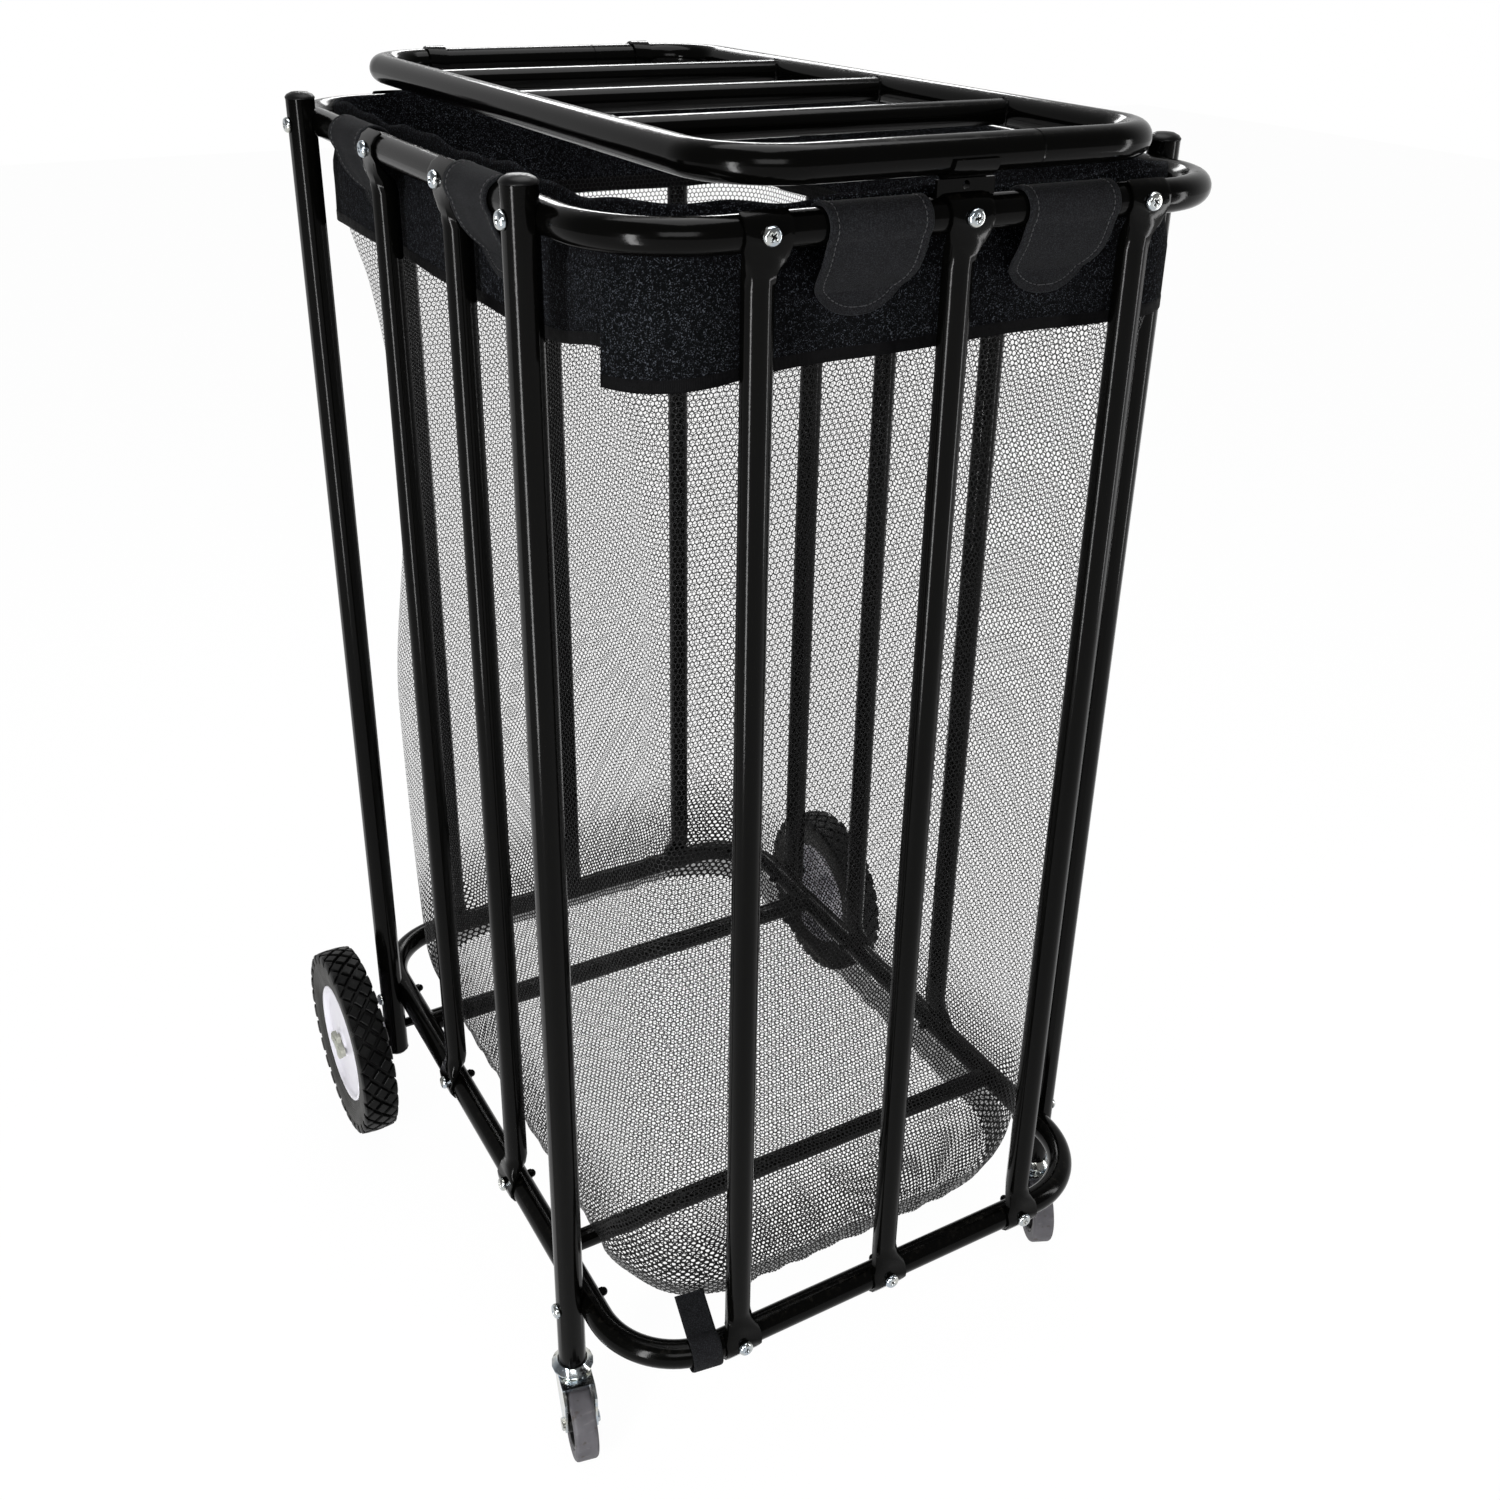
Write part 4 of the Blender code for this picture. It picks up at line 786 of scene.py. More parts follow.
def add_lugs(made, at, step):
    """Lugs over both shoulders. A station is a lug's place across the tyre, its drop under the tread
    and its half length round the tyre."""
    stations = ((0.0126, 0.0, 0.0012), (0.0196, 0.0, 0.0085), (0.0211, 0.0032, 0.0088),
                (0.0214, 0.0075, 0.0080), (0.0206, 0.0120, 0.0064))
    wall_drop, wall_inset = 0.004, 0.0022
    count = len(stations)
    top = 4 * count
    faces = grid_faces(count, 4)
    for i in range(count - 1):
        faces.append((i * 4, (i + 1) * 4, top + (i + 1) * 2, top + i * 2))
        faces.append(((i + 1) * 4 + 3, i * 4 + 3, top + i * 2 + 1, top + (i + 1) * 2 + 1))
    faces.append((0, 1, 2, 3, top + 1, top))
    faces.append((top - 4, top + 2 * count - 2, top + 2 * count - 1, top - 1, top - 2, top - 3))
    for side in (-1, 1):
        for row in range(TREAD_STEPS // 2):
            centre = 2 * row * step
            outer, inner = [], []
            for x, drop, half in stations:
                radius = tread_radius(x) - drop
                foot = side * (x - wall_inset * min(1.0, drop / wall_drop))
                depth = TREAD_DEPTH * (1.0 if drop < wall_drop else 0.3)
                for u in (-1.0, -0.6, 0.6, 1.0):
                    edge = BLOCK_EDGE if abs(u) == 1.0 else 0.0
                    outer.append(at(side * (x - edge * 0.5), centre + u * half / TYRE_RADIUS, radius - edge))
                for u in (-1.12, 1.12):
                    inner.append(at(foot, centre + u * half / TYRE_RADIUS, radius - depth))
            made.add(outer + inner, faces if side > 0 else [face[::-1] for face in faces])


def build_tyre(label, place, finish):
    """The tyre: a turned body up to its grooves' floor, with the tread's blocks on it."""
    groove = TYRE_RADIUS - CROWN_DROP - TREAD_DEPTH
    side = [(RIM_RADIUS + 0.0004, 0.0165), (0.0790, 0.0178), (0.0830, 0.0176), (0.0880, 0.0190),
            (0.0960, 0.0203), (0.1040, 0.0204), (0.1085, 0.0197), (0.1120, 0.0186),
            (groove - 0.0008, 0.0168), (groove, 0.0120), (groove + 0.0003, 0.0050)]
    made = Pieces()
    made.add(*turned(mirrored(side), place, 120))

    def at(x, angle, radius):
        return place @ Vector((*polar(radius, angle), x))

    step = 2 * math.pi / TREAD_STEPS
    add_diamonds(made, at, step)
    add_lugs(made, at, step)
    tyre = made.piece(f"tyre_{label}", finish, f"rear_wheel_{label}", "tyre_rubber", sharp=30.0)
    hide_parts(f"rear_tyre_{label}")


def build_disc(label, place, finish):
    """The moulded wheel: a flat web with a raised rim and a hub."""
    profile = [(0.0064, 0.0160), (0.0165, 0.0160), (0.0190, 0.0132), (0.0400, 0.0118), (0.0625, 0.0112),
               (0.0672, 0.0125), (0.0700, 0.0172), (RIM_RADIUS, 0.0175), (RIM_RADIUS, -0.0175),
               (0.0690, -0.0175), (0.0665, 0.0070), (0.0190, 0.0080), (0.0170, -0.0400), (0.0064, -0.0400)]
    disc = piece(f"wheel_disc_{label}", *turned(rounded(profile, 0.0022), place, 96), finish,
                 f"rear_wheel_{label}", "white_plastic", sharp=40.0)
    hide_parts(f"rear_wheel_disc_{label}")


def build_hub_clip(label, place, finish):
    """The cross-shaped clip pushed on the axle's end, with ribs over its arms and a round boss."""
    wide, tall, height = 0.0042, 0.0052, 0.0058
    side, top, foot = 0.0220, 0.0130, 0.0215
    plan = [(side, -tall), (side, tall), (wide, tall), (wide, top), (-wide, top), (-wide, tall),
            (-side, tall), (-side, -tall), (-wide, -tall), (-wide, -foot), (wide, -foot), (wide, -tall)]
    plan = rounded(plan, 0.0014, 3)
    count = len(plan)
    levels = ((1.0, 0.0), (1.0, height - 0.0012), (0.94, height - 0.0003), (0.86, height),
              (0.55, height * 0.86))
    faces = grid_faces(len(levels), count, closed=True)
    faces += [tuple(range((len(levels) - 1) * count, len(levels) * count)), tuple(reversed(range(count)))]
    made = Pieces()
    made.add([place @ Vector((p.x * size, p.y * size, CLIP_SEAT + up)) for size, up in levels for p in plan],
             faces)
    rib_half, rib_reach = 0.0009, 0.0046
    for across in (-0.0185, -0.0145, -0.0105, 0.0105, 0.0145, 0.0185):
        low, high = across - rib_half, across + rib_half
        rib = ((low, -rib_reach), (high, -rib_reach), (high, rib_reach), (low, rib_reach))
        ends = [place @ Vector((x, y, CLIP_SEAT + height + up)) for up in (-0.0010, 0.0011) for x, y in rib]
        made.add(ends, grid_faces(2, 4, closed=True) + [(4, 5, 6, 7)])
    boss = [(0.0, 0.0), (0.0066, 0.0), (0.0066, 0.0066), (0.0056, 0.0073), (0.0, 0.0073)]
    made.add(*turned([(r, CLIP_SEAT + z) for r, z in boss], place, 28, closed=False))
    clip = made.piece(f"hub_clip_{label}", finish, "frame", "grey_plastic", sharp=38.0)
    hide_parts(f"hub_cap_{label}")


# Casters

def build_caster_wheel(label, spin, tread_finish, core_finish):
    """A caster's wheel: the grey tread, and the core that shows at its sides."""
    place = frame_at(spin["pos_m"], spin["axis"])
    body = f"caster_wheel_{label}"
    half, edge = 0.012, 0.0030
    tread = [(0.0262, half - 0.0008), (0.0300, half), (CASTER_RADIUS - edge, half),
             (CASTER_RADIUS - 0.0009, half - 0.0011), (CASTER_RADIUS, half - edge)]
    wheel = piece(f"caster_wheel_{label}", *turned(rounded(mirrored(tread), 0.0009, 2), place, 72),
                  tread_finish, body, "grey_rubber", sharp=50.0)
    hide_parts(f"caster_tread_{label}")
    core = [(0.0044, 0.0139), (0.0088, 0.0139), (0.0100, 0.0045), (0.0215, 0.0040), (0.0232, 0.0106),
            (0.0260, 0.0110)]
    hub = piece(f"caster_hub_{label}", *turned(rounded(mirrored(core), 0.0012, 3), place, 48),
                core_finish, body, "black_plastic", sharp=45.0)
    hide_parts(f"caster_core_{label}")


def build_bearing_balls(finish):
    """The ring of balls that shows between the races of each swivel."""
    profile = [polar(RACE_BALL, math.pi * i / 6)[::-1] for i in range(7)]
    made = Pieces()
    for side in (-1, 1):
        for a in turns(RACE_BALLS):
            x, y = polar(RACE_RADIUS, a)
            centre = (side * LEG.x + x, -LEG.y + y, RACE_HEIGHT)
            made.add(*turned(profile, Matrix.Translation(centre), 10, closed=False))
    made.piece("swivel_balls", finish, "frame", "zinc_steel", sharp=80.0)


# Bag and band

def soft_wave(x, *waves):
    """A sum of sines: (wavelength, height, phase) each."""
    return sum(h * np.sin(2 * math.pi * x / w + p) for w, h, p in waves)


def bag_shape(share):
    """How far the bag lies in, how much rounder its corners are and how far it leans, at a share of its
    depth. The values of BAG_SHAPE are blended over a short stretch."""
    rows = np.array(BAG_SHAPE)
    near = np.clip(share + np.linspace(-0.05, 0.05, 9) * min(1.0, 6 * (1.02 - share)), 0.0, 1.0)
    return [float(np.mean(np.interp(near, rows[:, 0], rows[:, k]))) for k in (1, 2, 3)]


def bag_ring(share, run, half, bend):
    """One level of the net. It is gathered on the band and slack below, has a neck under the band, most
    on the rear left, tucks in low on the right and lies in folds at its foot."""
    inset, rounder, lean = bag_shape(share)
    inset += NET_SKIN
    plan, normals = outline(half.x - inset, half.y - inset, bend - inset + rounder)

    def facing(x, y):
        return np.clip(normals @ np.array([x, y]), 0.0, 1.0)

    foot = max(0.0, (share - FOOT_START) / 0.20)
    gather = 0.0007 * math.exp(-share / 0.03) * (1 + np.sin(run * 2 * math.pi / 0.016))
    drape = soft_wave(run, (0.31, 1.0, 0.4 + 5 * share), (0.173, 0.6, 2.0 - 7 * share), (0.67, 0.6, 1.1))
    slack = 0.0012 * (2.2 + drape) * math.sin(math.pi * min(1.0, share * 1.05)) ** 0.5
    fold = 0.0016 * foot * (1 + soft_wave(run, (0.052, 0.7, 6 * share), (0.081, 0.3, 1.0)))
    low = math.sin(math.pi * min(1.0, max(0.0, (share - 0.35) / 0.75))) ** 1.5
    tuck = NET_TUCK * facing(0.86, -0.50) * low
    high = math.sin(math.pi * min(1.0, share / NECK_END)) ** 2
    neck = (NECK + NECK_REAR_LEFT * facing(-0.80, 0.60) + NECK_RIGHT * facing(1.0, 0.0)) * high
    out = eased(BAND_BULGE, max(0.0, 1.0 - share / 0.09))
    moved = plan + normals * (out - gather - slack - fold - tuck - neck)[:, None] - lean
    height = BAG_TOP - (BAG_TOP - BAG_BOTTOM) * share
    lift = 0.0012 * foot * soft_wave(run, (0.11, 1.0, 0.6), (0.047, 0.5, 2.2))
    return np.column_stack([moved, height + lift + (NET_SKIN if share == 1.0 else 0.0)])


def depths(rings):
    """How far down the cloth each ring of points lies, as the middle of the way its points have come."""
    steps = [float(np.median(np.linalg.norm(b - a, axis=1))) for a, b in zip(rings, rings[1:])]
    return [0.0] + [float(depth) for depth in np.cumsum(steps)]


def build_bag(finish):
    """The net bag: a lofted sheet that hangs from the band, gathers at its foot and sags in its floor."""
    inset = BAND_INSET + BAND_THICKNESS + CLOTH_GAP
    half = RING_HALF - Vector((inset, inset))
    bend = RING_BEND - BAND_INSET - BAND_THICKNESS - CLOTH_GAP
    plan, _ = outline(half.x, half.y, bend)
    around = run_lengths(closed_path(plan))
    run = around[:-1]
    shares = np.concatenate([np.linspace(0.0, 0.86, 80), np.linspace(0.87, 1.0, 34)])
    walls = [closed_path(bag_ring(share, run, half, bend)) for share in shares]
    downs = depths([wall[:-1] for wall in walls])
    uvs = [np.column_stack([around, np.full(len(around), down)]) for down in downs]
    foot = walls[-1]
    centre = foot[:-1].mean(axis=0)
    floor_apart = np.array([2.0, 2.0])
    floors = []
    for share in np.linspace(0.0, 1.0, 22):
        shrink = 1.0 - share * 0.995
        ring = centre + (foot - centre) * shrink
        ripple = 0.0006 * np.append(soft_wave(run, (0.12, 1.0, 4 * share), (0.3, 0.6, 1.0)), 0.0)
        ring[:, 2] = (foot[:, 2] * shrink + centre[2] * (1 - shrink)
                      - FLOOR_SAG * math.sin(share * math.pi / 2) + ripple * shrink * min(1.0, share * 6))
        floors.append(ring)
        uvs.append(ring[:, :2] + floor_apart)
    columns = len(around)
    faces = grid_faces(len(walls), columns)
    faces += grid_faces(len(floors), columns, start=len(walls) * columns)
    net = piece("net_bag", np.vstack(walls + floors), faces, finish, "frame", "black_net",
                uv=np.vstack(uvs), sharp=180.0)
    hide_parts("bag_net")


def lap_step(run, after, before):
    """A step where the band's end laps over its start, by the front left corner. Each side of it is
    (size, length over which it fades)."""
    past = run - BAND_LAP
    return np.where(past > 0, *[size * np.exp(-(past / length) ** 2) for size, length in (after, before)])


def band_bottom(run):
    """Height of the band's lower edge along its run. It hangs lower past the lap."""
    lap = lap_step(run, (-0.0135, 0.11), (0.0125, 0.05))
    return BAND_BOTTOM + HEM / 2 + soft_wave(run, (0.19, 0.0009, 0.3), (0.41, 0.0009, 1.9)) + lap


def band_top(run):
    """Height of its upper edge, which stands a little above the ring."""
    return BAND_TOP + 0.0038 * (1 + soft_wave(run, (0.21, 0.6, 1.3), (0.087, 0.4, 0.5)))


def band_bulge(height):
    """How far the band stands out under the ring."""
    below_ring = TOP_RING_HEIGHT - RING_RADIUS - height
    return eased(BAND_BULGE, np.clip(below_ring / BULGE_DROP, 0.0, 1.0))


def build_band(pile, hem):
    """The plush band inside the top ring, with a satin binding round its lower edge. Its section goes up
    its outer face, over its top and down its inner face, as (share of its thickness, height over its
    lower edge, share of its depth above the hem)."""
    half = RING_HALF - Vector((BAND_INSET, BAND_INSET))
    plan, normals = outline(half.x, half.y, RING_BEND - BAND_INSET, (60, 84), 18)
    around = run_lengths(closed_path(plan))
    run = np.sort(np.append(around[:-1], [BAND_LAP - 0.0006, BAND_LAP + 0.0001]))
    plan, normals = [np.column_stack([np.interp(run, around, column) for column in closed_path(values).T])
                     for values in (plan, normals)]
    low, high = band_bottom(run), band_top(run)
    lap = lap_step(run, (0.0024, 0.25), (-0.0060, 0.045))
    levels = [0.0, 0.25, 0.5, 0.75, 1.0]
    section = [(0.30, 0.0, 0.0)] + [(0.0, HEM * s, 0.0) for s in levels]
    section += [(0.10, HEM + 0.0008, 0.0)] + [(0.08, HEM, s) for s in np.linspace(0.06, 0.97, 12)]
    section += [(0.45, HEM, 1.0), (0.85, HEM, 0.97)] + [(1.0, HEM, s) for s in np.linspace(0.9, 0.06, 10)]
    section += [(1.0, HEM * s, 0.0) for s in reversed(levels)] + [(0.70, 0.0, 0.0)]
    rings = []
    for deep, up, share in section:
        height = low + up + (high - low - up) * share
        drape = 1 + soft_wave(run, (0.113, 0.6, 1.0 + 3 * share), (0.27, 0.4, 0.2))
        slack = 0.0008 * np.sin(math.pi * min(1.0, share + 0.15)) * drape
        out = band_bulge(height) * (1.0 + lap / BAND_BULGE) - slack - 0.0002
        rings.append(np.column_stack([plan + normals * (out - deep * BAND_THICKNESS * 0.9)[:, None], height]))
    downs = depths(rings)
    uvs = [np.column_stack([run, np.full(len(run), down)]) for down in downs]
    faces = grid_faces(len(rings), len(run), closed=True, looped=True)
    hem_rows = len(levels) + 1
    chosen = [0 if hem_rows <= i // len(run) < len(rings) - hem_rows - 1 else 1 for i in range(len(faces))]
    band = piece("plush_band", np.vstack(rings), faces, pile, "frame", "black_plush", uv=np.vstack(uvs),
                 wrap=(around[-1], downs[-1]), sharp=180.0, looks=(hem, chosen))
    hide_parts("bag_band")


# Tabs and strap

class Strip:
    """A flat strip bent along a path of (outward, up) points: gives places on it by run and side."""

    def __init__(self, path, place):
        self.path = np.array(path, float)
        self.runs = run_lengths(self.path)
        self.length = float(self.runs[-1])
        self.place = np.array(place)

    def on_path(self, run):
        return np.array([np.interp(run, self.runs, self.path[:, k]) for k in (0, 1)])

    def at(self, run, side, lift):
        """Places at a run along the strip and a side off its middle, lifted off its face."""
        reach = 0.0012
        here = self.on_path(run)
        along = self.on_path(run + reach) - self.on_path(run - reach)
        along = along / np.linalg.norm(along, axis=0)
        flat = np.stack([side, here[0] - along[1] * lift, here[1] + along[0] * lift], axis=-1)
        return flat @ self.place[:3, :3].T + self.place[:3, 3]

    def sheet(self, run, side, front, back):
        """Points, faces and cloth places of a sheet closed between two lifts off the strip."""
        points = [self.at(run, side, lift).reshape(-1, 3) for lift in (front, back)]
        rows, columns = run.shape
        count = rows * columns
        quads = grid_faces(rows, columns)
        rim = [(0, j) for j in range(columns)] + [(i, columns - 1) for i in range(1, rows)]
        rim += [(rows - 1, j) for j in range(columns - 2, -1, -1)] + [(i, 0) for i in range(rows - 2, 0, -1)]
        rim = [i * columns + j for i, j in rim]
        faces = quads + [tuple(i + count for i in reversed(quad)) for quad in quads]
        faces += [(b, a, a + count, b + count) for a, b in zip(rim, rim[1:] + rim[:1])]
        flat = np.column_stack([side.ravel() + CLOTH_ASIDE, run.ravel()])
        return np.vstack(points), faces, np.vstack([flat, flat])


def tab_path():
    """A tab's middle line as (outward, up) about the ring's centre, from inside the cage to its end."""
    rest = BAND_INSET - CLOTH_GAP - TAB_LIFT
    on_band = BAND_BULGE - rest
    points = [(-rest, -0.018), (-rest + 0.0002, -0.012), (-rest + 0.0016, -0.0055)]
    points += arc(RING_RADIUS + TAB_RING_GAP + TAB_LIFT, 172.0, -40.0, 24)
    leave = Vector(points[-1])
    landing = Vector((on_band + TAB_BAND_GAP, -TAB_LANDING))
    bow = Vector((0.0035, -0.0012))
    points += [tuple(leave.lerp(landing, t) + bow * math.sin(math.pi * t))
               for t in np.linspace(0.0, 1.0, 15)[1:]]
    points += [(on_band + TAB_BAND_GAP * (1 - t), -TAB_LANDING - (TAB_DROP - TAB_LANDING) * t)
               for t in np.linspace(0.0, 1.0, 9)[1:]]
    return points


def tab_half(run, length):
    """Half the tab's width, which rounds off at its free end."""
    past = np.clip((run - (length - TAB_END_RADIUS)) / TAB_END_RADIUS, 0.0, 1.0)
    return TAB_HALF_WIDTH - TAB_END_RADIUS * (1.0 - np.sqrt(1.0 - past ** 2))


def tab_edge(run, side, length):
    """Distance from a place on a tab to its edge."""
    start = length - TAB_END_RADIUS
    across = TAB_HALF_WIDTH - np.abs(side)
    inner = TAB_HALF_WIDTH - TAB_END_RADIUS
    round_end = TAB_END_RADIUS - np.hypot(run - start, np.maximum(np.abs(side) - inner, 0.0))
    return np.where(run > start, np.minimum(round_end, across), np.minimum(across, run + 0.004))


def tab_thick(run, side, length):
    """Half a tab's thickness: thin at its edge, full and puckered over its binding, sunk at its stitches."""
    edge = tab_edge(run, side, length)
    puff = np.clip(edge / 0.0009, 0.0, 1.0) ** 0.5
    binding = 1.0 - np.clip((edge - TAB_BINDING) / 0.0006, 0.0, 1.0)
    sunk = np.clip(1.0 - np.abs(edge - TAB_BINDING - 0.0014) / 0.0012, 0.0, 1.0)
    pucker = 0.00014 * np.sin(2 * math.pi * (run + side) / 0.0085)
    full = TAB_THICKNESS / 2 + 0.00045 * binding - 0.00030 * sunk + pucker * binding
    return full * (0.25 + 0.75 * puff)


def tab_wave(run, side):
    """How far a tab's free end waves off its middle line."""
    height, length, start, rise = 0.0005, 0.05, 0.05, 0.03
    return height * np.sin(2 * math.pi * side / length + 2.0) * np.clip((run - start) / rise, 0.0, 1.0)


def add_stitches(thread, strip):
    """Stitches along a tab's sides and round its end, a little inside its binding."""
    length = strip.length
    start = length - TAB_END_RADIUS
    inner = TAB_HALF_WIDTH - TAB_END_RADIUS
    turn = TAB_END_RADIUS - TAB_SEAM
    line = [(s, TAB_SEAM - TAB_HALF_WIDTH) for s in np.arange(0.010, start, 0.001)]
    line += [(start + turn * math.sin(a), -inner - turn * math.cos(a))
             for a in np.linspace(0.0, math.pi / 2, 50)]
    line += [(length - TAB_SEAM, s) for s in np.linspace(-0.008, 0.0, 9)[1:]]
    line += [(r, -s) for r, s in reversed(line[:-1])]
    line = np.array(line)
    places = run_lengths(line)
    rise = TAB_THICKNESS / 2 + 0.00016 * np.sin(np.linspace(0.0, math.pi, 5)) - 0.00012
    radii = [STITCH_RADIUS * share for share in (0.45, 0.9, 1.0, 0.9, 0.45)]
    for begin in np.arange(0.0, places[-1] - STITCH_PITCH, STITCH_PITCH):
        steps = np.linspace(begin, begin + STITCH_LENGTH, 5)
        run, side = np.interp(steps, places, line[:, 0]), np.interp(steps, places, line[:, 1])
        thread.add(*swept(strip.at(run, side, rise + tab_wave(run, side)), radii, sides=6))


def build_tab(name, node, place, finish, thread):
    """One tab over the ring; its stitches are added to the thread."""
    strip = Strip(tab_path(), place)
    length = strip.length
    end_turn = np.sin(np.linspace(0.0, math.pi / 2, 44)[1:])
    runs = np.concatenate([np.linspace(0.0, length - TAB_END_RADIUS, 54),
                           length - TAB_END_RADIUS * (1 - end_turn)])
    shares = np.sin(np.linspace(-1.0, 1.0, 61) * math.pi / 2)
    run, share = np.meshgrid(runs, shares, indexing="ij")
    side = share * tab_half(run, length)
    thick, wave = tab_thick(run, side, length), tab_wave(run, side)
    points, faces, flat = strip.sheet(run, side, thick + wave, wave - thick)
    tab = piece(name, points, faces, finish, "frame", "black_webbing", uv=flat, sharp=70.0)
    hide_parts(node)
    add_stitches(thread, strip)
    return tab


def build_tabs(finish, thread_finish):
    """The eight tabs over the top ring, with all their stitches as one piece."""
    thread = Pieces()
    for side, degrees, offsets in TABS:
        for offset in offsets:
            at_end = side in ("front", "rear")
            half = RING_HALF.y if at_end else RING_HALF.x
            place = (Matrix.Rotation(math.radians(degrees), 4, "Z")
                     @ Matrix.Translation((offset, half, TOP_RING_HEIGHT)))
            where = place.translation
            if at_end:
                other = "left" if where.x < 0 else "right"
            else:
                other = "front" if where.y < 0 else "rear"
            tab = build_tab(f"webbing_tab_{side}_{other}", f"tab_{side}_{other}", place, finish, thread)
    thread.piece("tab_stitches", thread_finish, "frame", "black_webbing", sharp=80.0)


def build_strap(finish):
    """The strap that ties the bag's foot to the bottom ring by its front left corner."""
    sagitta = RING_BEND - math.sqrt(RING_BEND ** 2 - STRAP_HALF_WIDTH ** 2)
    wrap = arc(RING_RADIUS + sagitta + STRAP_RING_GAP + STRAP_LIFT, STRAP_LEAVE, STRAP_END, 44)
    leave = Vector(wrap[0])
    angle = math.radians(STRAP_LEAVE)
    start = leave + Vector((-math.sin(angle), -math.cos(angle))) * STRAP_RISE
    rise = [tuple(start.lerp(leave, t)) for t in np.linspace(0.0, 1.0, 12)[:-1]]
    corner = Vector((-(RING_HALF.x - RING_BEND), -(RING_HALF.y - RING_BEND), BOTTOM_RING_HEIGHT))
    place = (Matrix.Translation(corner) @ Matrix.Rotation(math.radians(STRAP_TURN), 4, "Z")
             @ Matrix.Translation((0.0, -RING_BEND, 0.0)) @ Matrix.Rotation(math.pi, 4, "Z"))
    strip = Strip(rise + wrap, place)
    run, share = np.meshgrid(np.linspace(0.0, strip.length, 90), np.linspace(-1.0, 1.0, 25), indexing="ij")
    side = share * STRAP_HALF_WIDTH
    rib = 0.00010 * np.cos(2 * math.pi * side / 0.0030)
    edge = np.clip((1 - np.abs(share)) / 0.06, 0.0, 1.0) ** 0.5
    thick = (STRAP_HALF_THICKNESS + rib) * (0.3 + 0.7 * edge)
    points, faces, flat = strip.sheet(run, side, thick, -thick)
    strap = piece("foot_strap", points, faces, finish, "frame", "black_webbing", uv=flat, sharp=70.0)
    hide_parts("bag_strap")


# Frame nodes

def dress_frame(coat, by_slot, by_node):
    """Gives each CAD node its finish, and shades its facets smooth where they stand for a curve."""
    slots = {row["node"]: row["material_slot"] for row in frame["record"]["subparts"]}
    for name, node in frame["nodes"].items():
        mesh = node.data
        mesh.materials.clear()
        mesh.materials.append(by_node.get(name, by_slot.get(slots[name], coat)))
        for attribute in ("custom_normal", "sharp_edge"):
            if attribute in mesh.attributes:
                mesh.attributes.remove(mesh.attributes[attribute])
        mesh.polygons.foreach_set("use_smooth", [True] * len(mesh.polygons))
        mesh.polygons.foreach_set("material_index", [0] * len(mesh.polygons))
        node.modifiers.new("weld", "WELD").merge_threshold = 0.00002
        node.modifiers.new("edges", "EDGE_SPLIT").split_angle = math.radians(40.0)
        node.modifiers.new("normals", "WEIGHTED_NORMAL")


# Studio

def photo_camera():
    """The camera, solved from the straight tubes of the photo."""
    data = bpy.data.cameras.new("photo_camera")
    data.lens = CAMERA_LENS
    data.sensor_width = 36.0
    data.shift_y = CAMERA_SHIFT
    forward = Vector(CAMERA_FORWARD).normalized()
    level = forward.cross(Vector((0.0, 0.0, 1.0))).normalized()
    roll = math.radians(CAMERA_ROLL)
    right = level * math.cos(roll) + level.cross(forward) * math.sin(roll)
    up = right.cross(forward)
    camera = link(bpy.data.objects.new("photo_camera", data))
    camera.matrix_world = (Matrix.Translation(CAMERA_PLACE)
                           @ Matrix((right, up, -forward)).transposed().to_4x4())
    bpy.context.scene.camera = camera


def soft_light(name, location, size, power, target=(0.0, 0.0, 0.7)):
    """A rectangular lamp that faces a target."""
    data = bpy.data.lights.new(name, "AREA")
    data.shape = "RECTANGLE"
    data.size, data.size_y = size
    data.energy = power
    aim = Vector(target) - Vector(location)
    lamp = link(bpy.data.objects.new(name, data))
    lamp.matrix_world = Matrix.Translation(location) @ aim.to_track_quat("-Z", "Y").to_matrix().to_4x4()


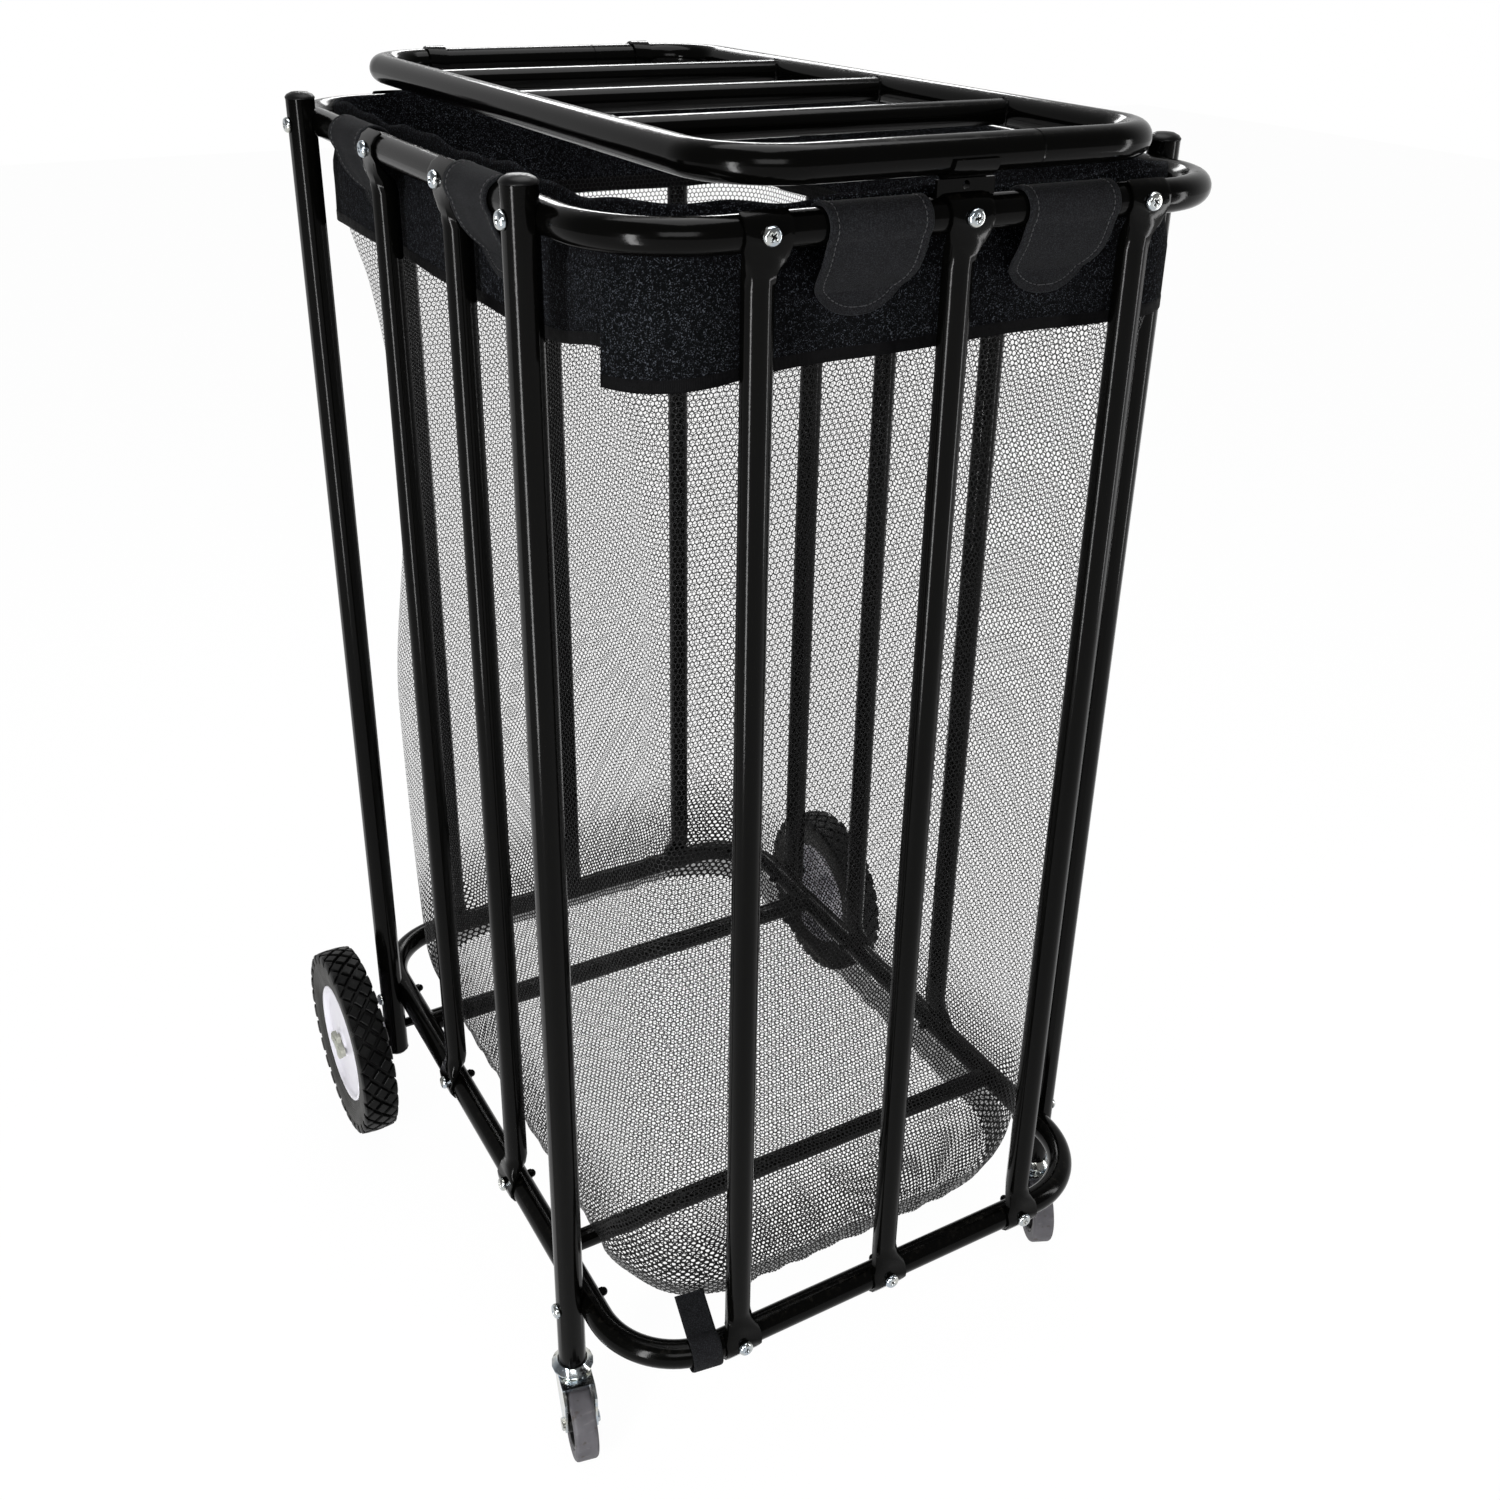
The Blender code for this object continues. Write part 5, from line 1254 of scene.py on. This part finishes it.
def studio():
    """A white floor, a world that is white to the camera and darker to one side in reflections, and lamps."""
    mesh = bpy.data.meshes.new("floor")
    corners = ((-1, -1), (1, -1), (1, 1), (-1, 1))
    mesh.from_pydata([(x * FLOOR_HALF, y * FLOOR_HALF, 0.0) for x, y in corners], [], [(0, 1, 2, 3)])
    mesh.materials.append(studio_white("studio_floor"))
    link(bpy.data.objects.new("floor", mesh))
    world = bpy.data.worlds.new("studio")
    bpy.context.scene.world = world
    f = Finish(world)
    seen = f.ray("Camera") + f.ray("Transmission")
    sweep = f.along(f.place("Generated"), (0.46, 0.79, -0.42)).step(-0.25, 0.55)
    strength = 0.50 + 0.50 * seen + f.ray("Glossy") * (0.55 * sweep - 0.30)
    sky = f.node("ShaderNodeBackground", {}, {"Color": (1.0, 1.0, 1.0, 1.0), "Strength": strength})
    f.node("ShaderNodeOutputWorld", {}, {"Surface": sky})
    soft_light("left_strip", (-1.45, -1.05, 0.80), (0.20, 1.50), 36.0, (-0.3, -0.28, 0.80))
    soft_light("right_strip", (1.55, -1.25, 0.90), (0.22, 1.40), 12.0, (0.2, -0.35, 0.80))
    soft_light("overhead", (0.25, 0.10, 3.1), (1.6, 1.8), 42.0)
    soft_light("front_fill", (-1.2, -3.0, 2.4), (1.6, 1.2), 34.0)
    soft_light("rear_rim", (0.9, 2.1, 2.2), (1.4, 0.35), 22.0, (0.0, 0.2, 1.25))
    bpy.context.scene.view_settings.view_transform = "Standard"


def joint(name):
    """The frame's joint of that name."""
    return next(j for j in frame["joints"] if j["name"] == name)


coat = powder_coat("black_powder_coat")
steel = zinc("zinc_plate")
black_moulding = moulded_black("black_moulding")
caster_grey = caster_rubber("caster_rubber")
cloth = webbing("webbing_cloth")
white = wheel_white("wheel_white")
clip = clip_grey("clip_grey")
photo_camera()
studio()
dress_frame(coat, {"black_plastic": black_moulding, "zinc_steel": steel}, {"rear_axle": coat})
build_rings(coat)
build_screws(steel)
build_welds(coat)
for label, side in (("left", -1), ("right", 1)):
    axle = joint(f"rear_wheel_{label}_spin")["pos_m"]
    place = frame_at(axle, (side, 0.0, 0.0))
    build_tyre(label, place, tyre_rubber(f"tyre_rubber_{label}", tuple(axle)))
    build_disc(label, place, white)
    build_hub_clip(label, place, clip)
    build_caster_wheel(label, joint(f"caster_{label}_wheel_spin"), caster_grey, black_moulding)
build_bearing_balls(steel)
build_band(plush("plush_pile"), satin_hem("satin_hem"))
build_bag(net_thread("net_thread"))
build_tabs(cloth, sewing_thread("sewing_thread"))
build_strap(cloth)
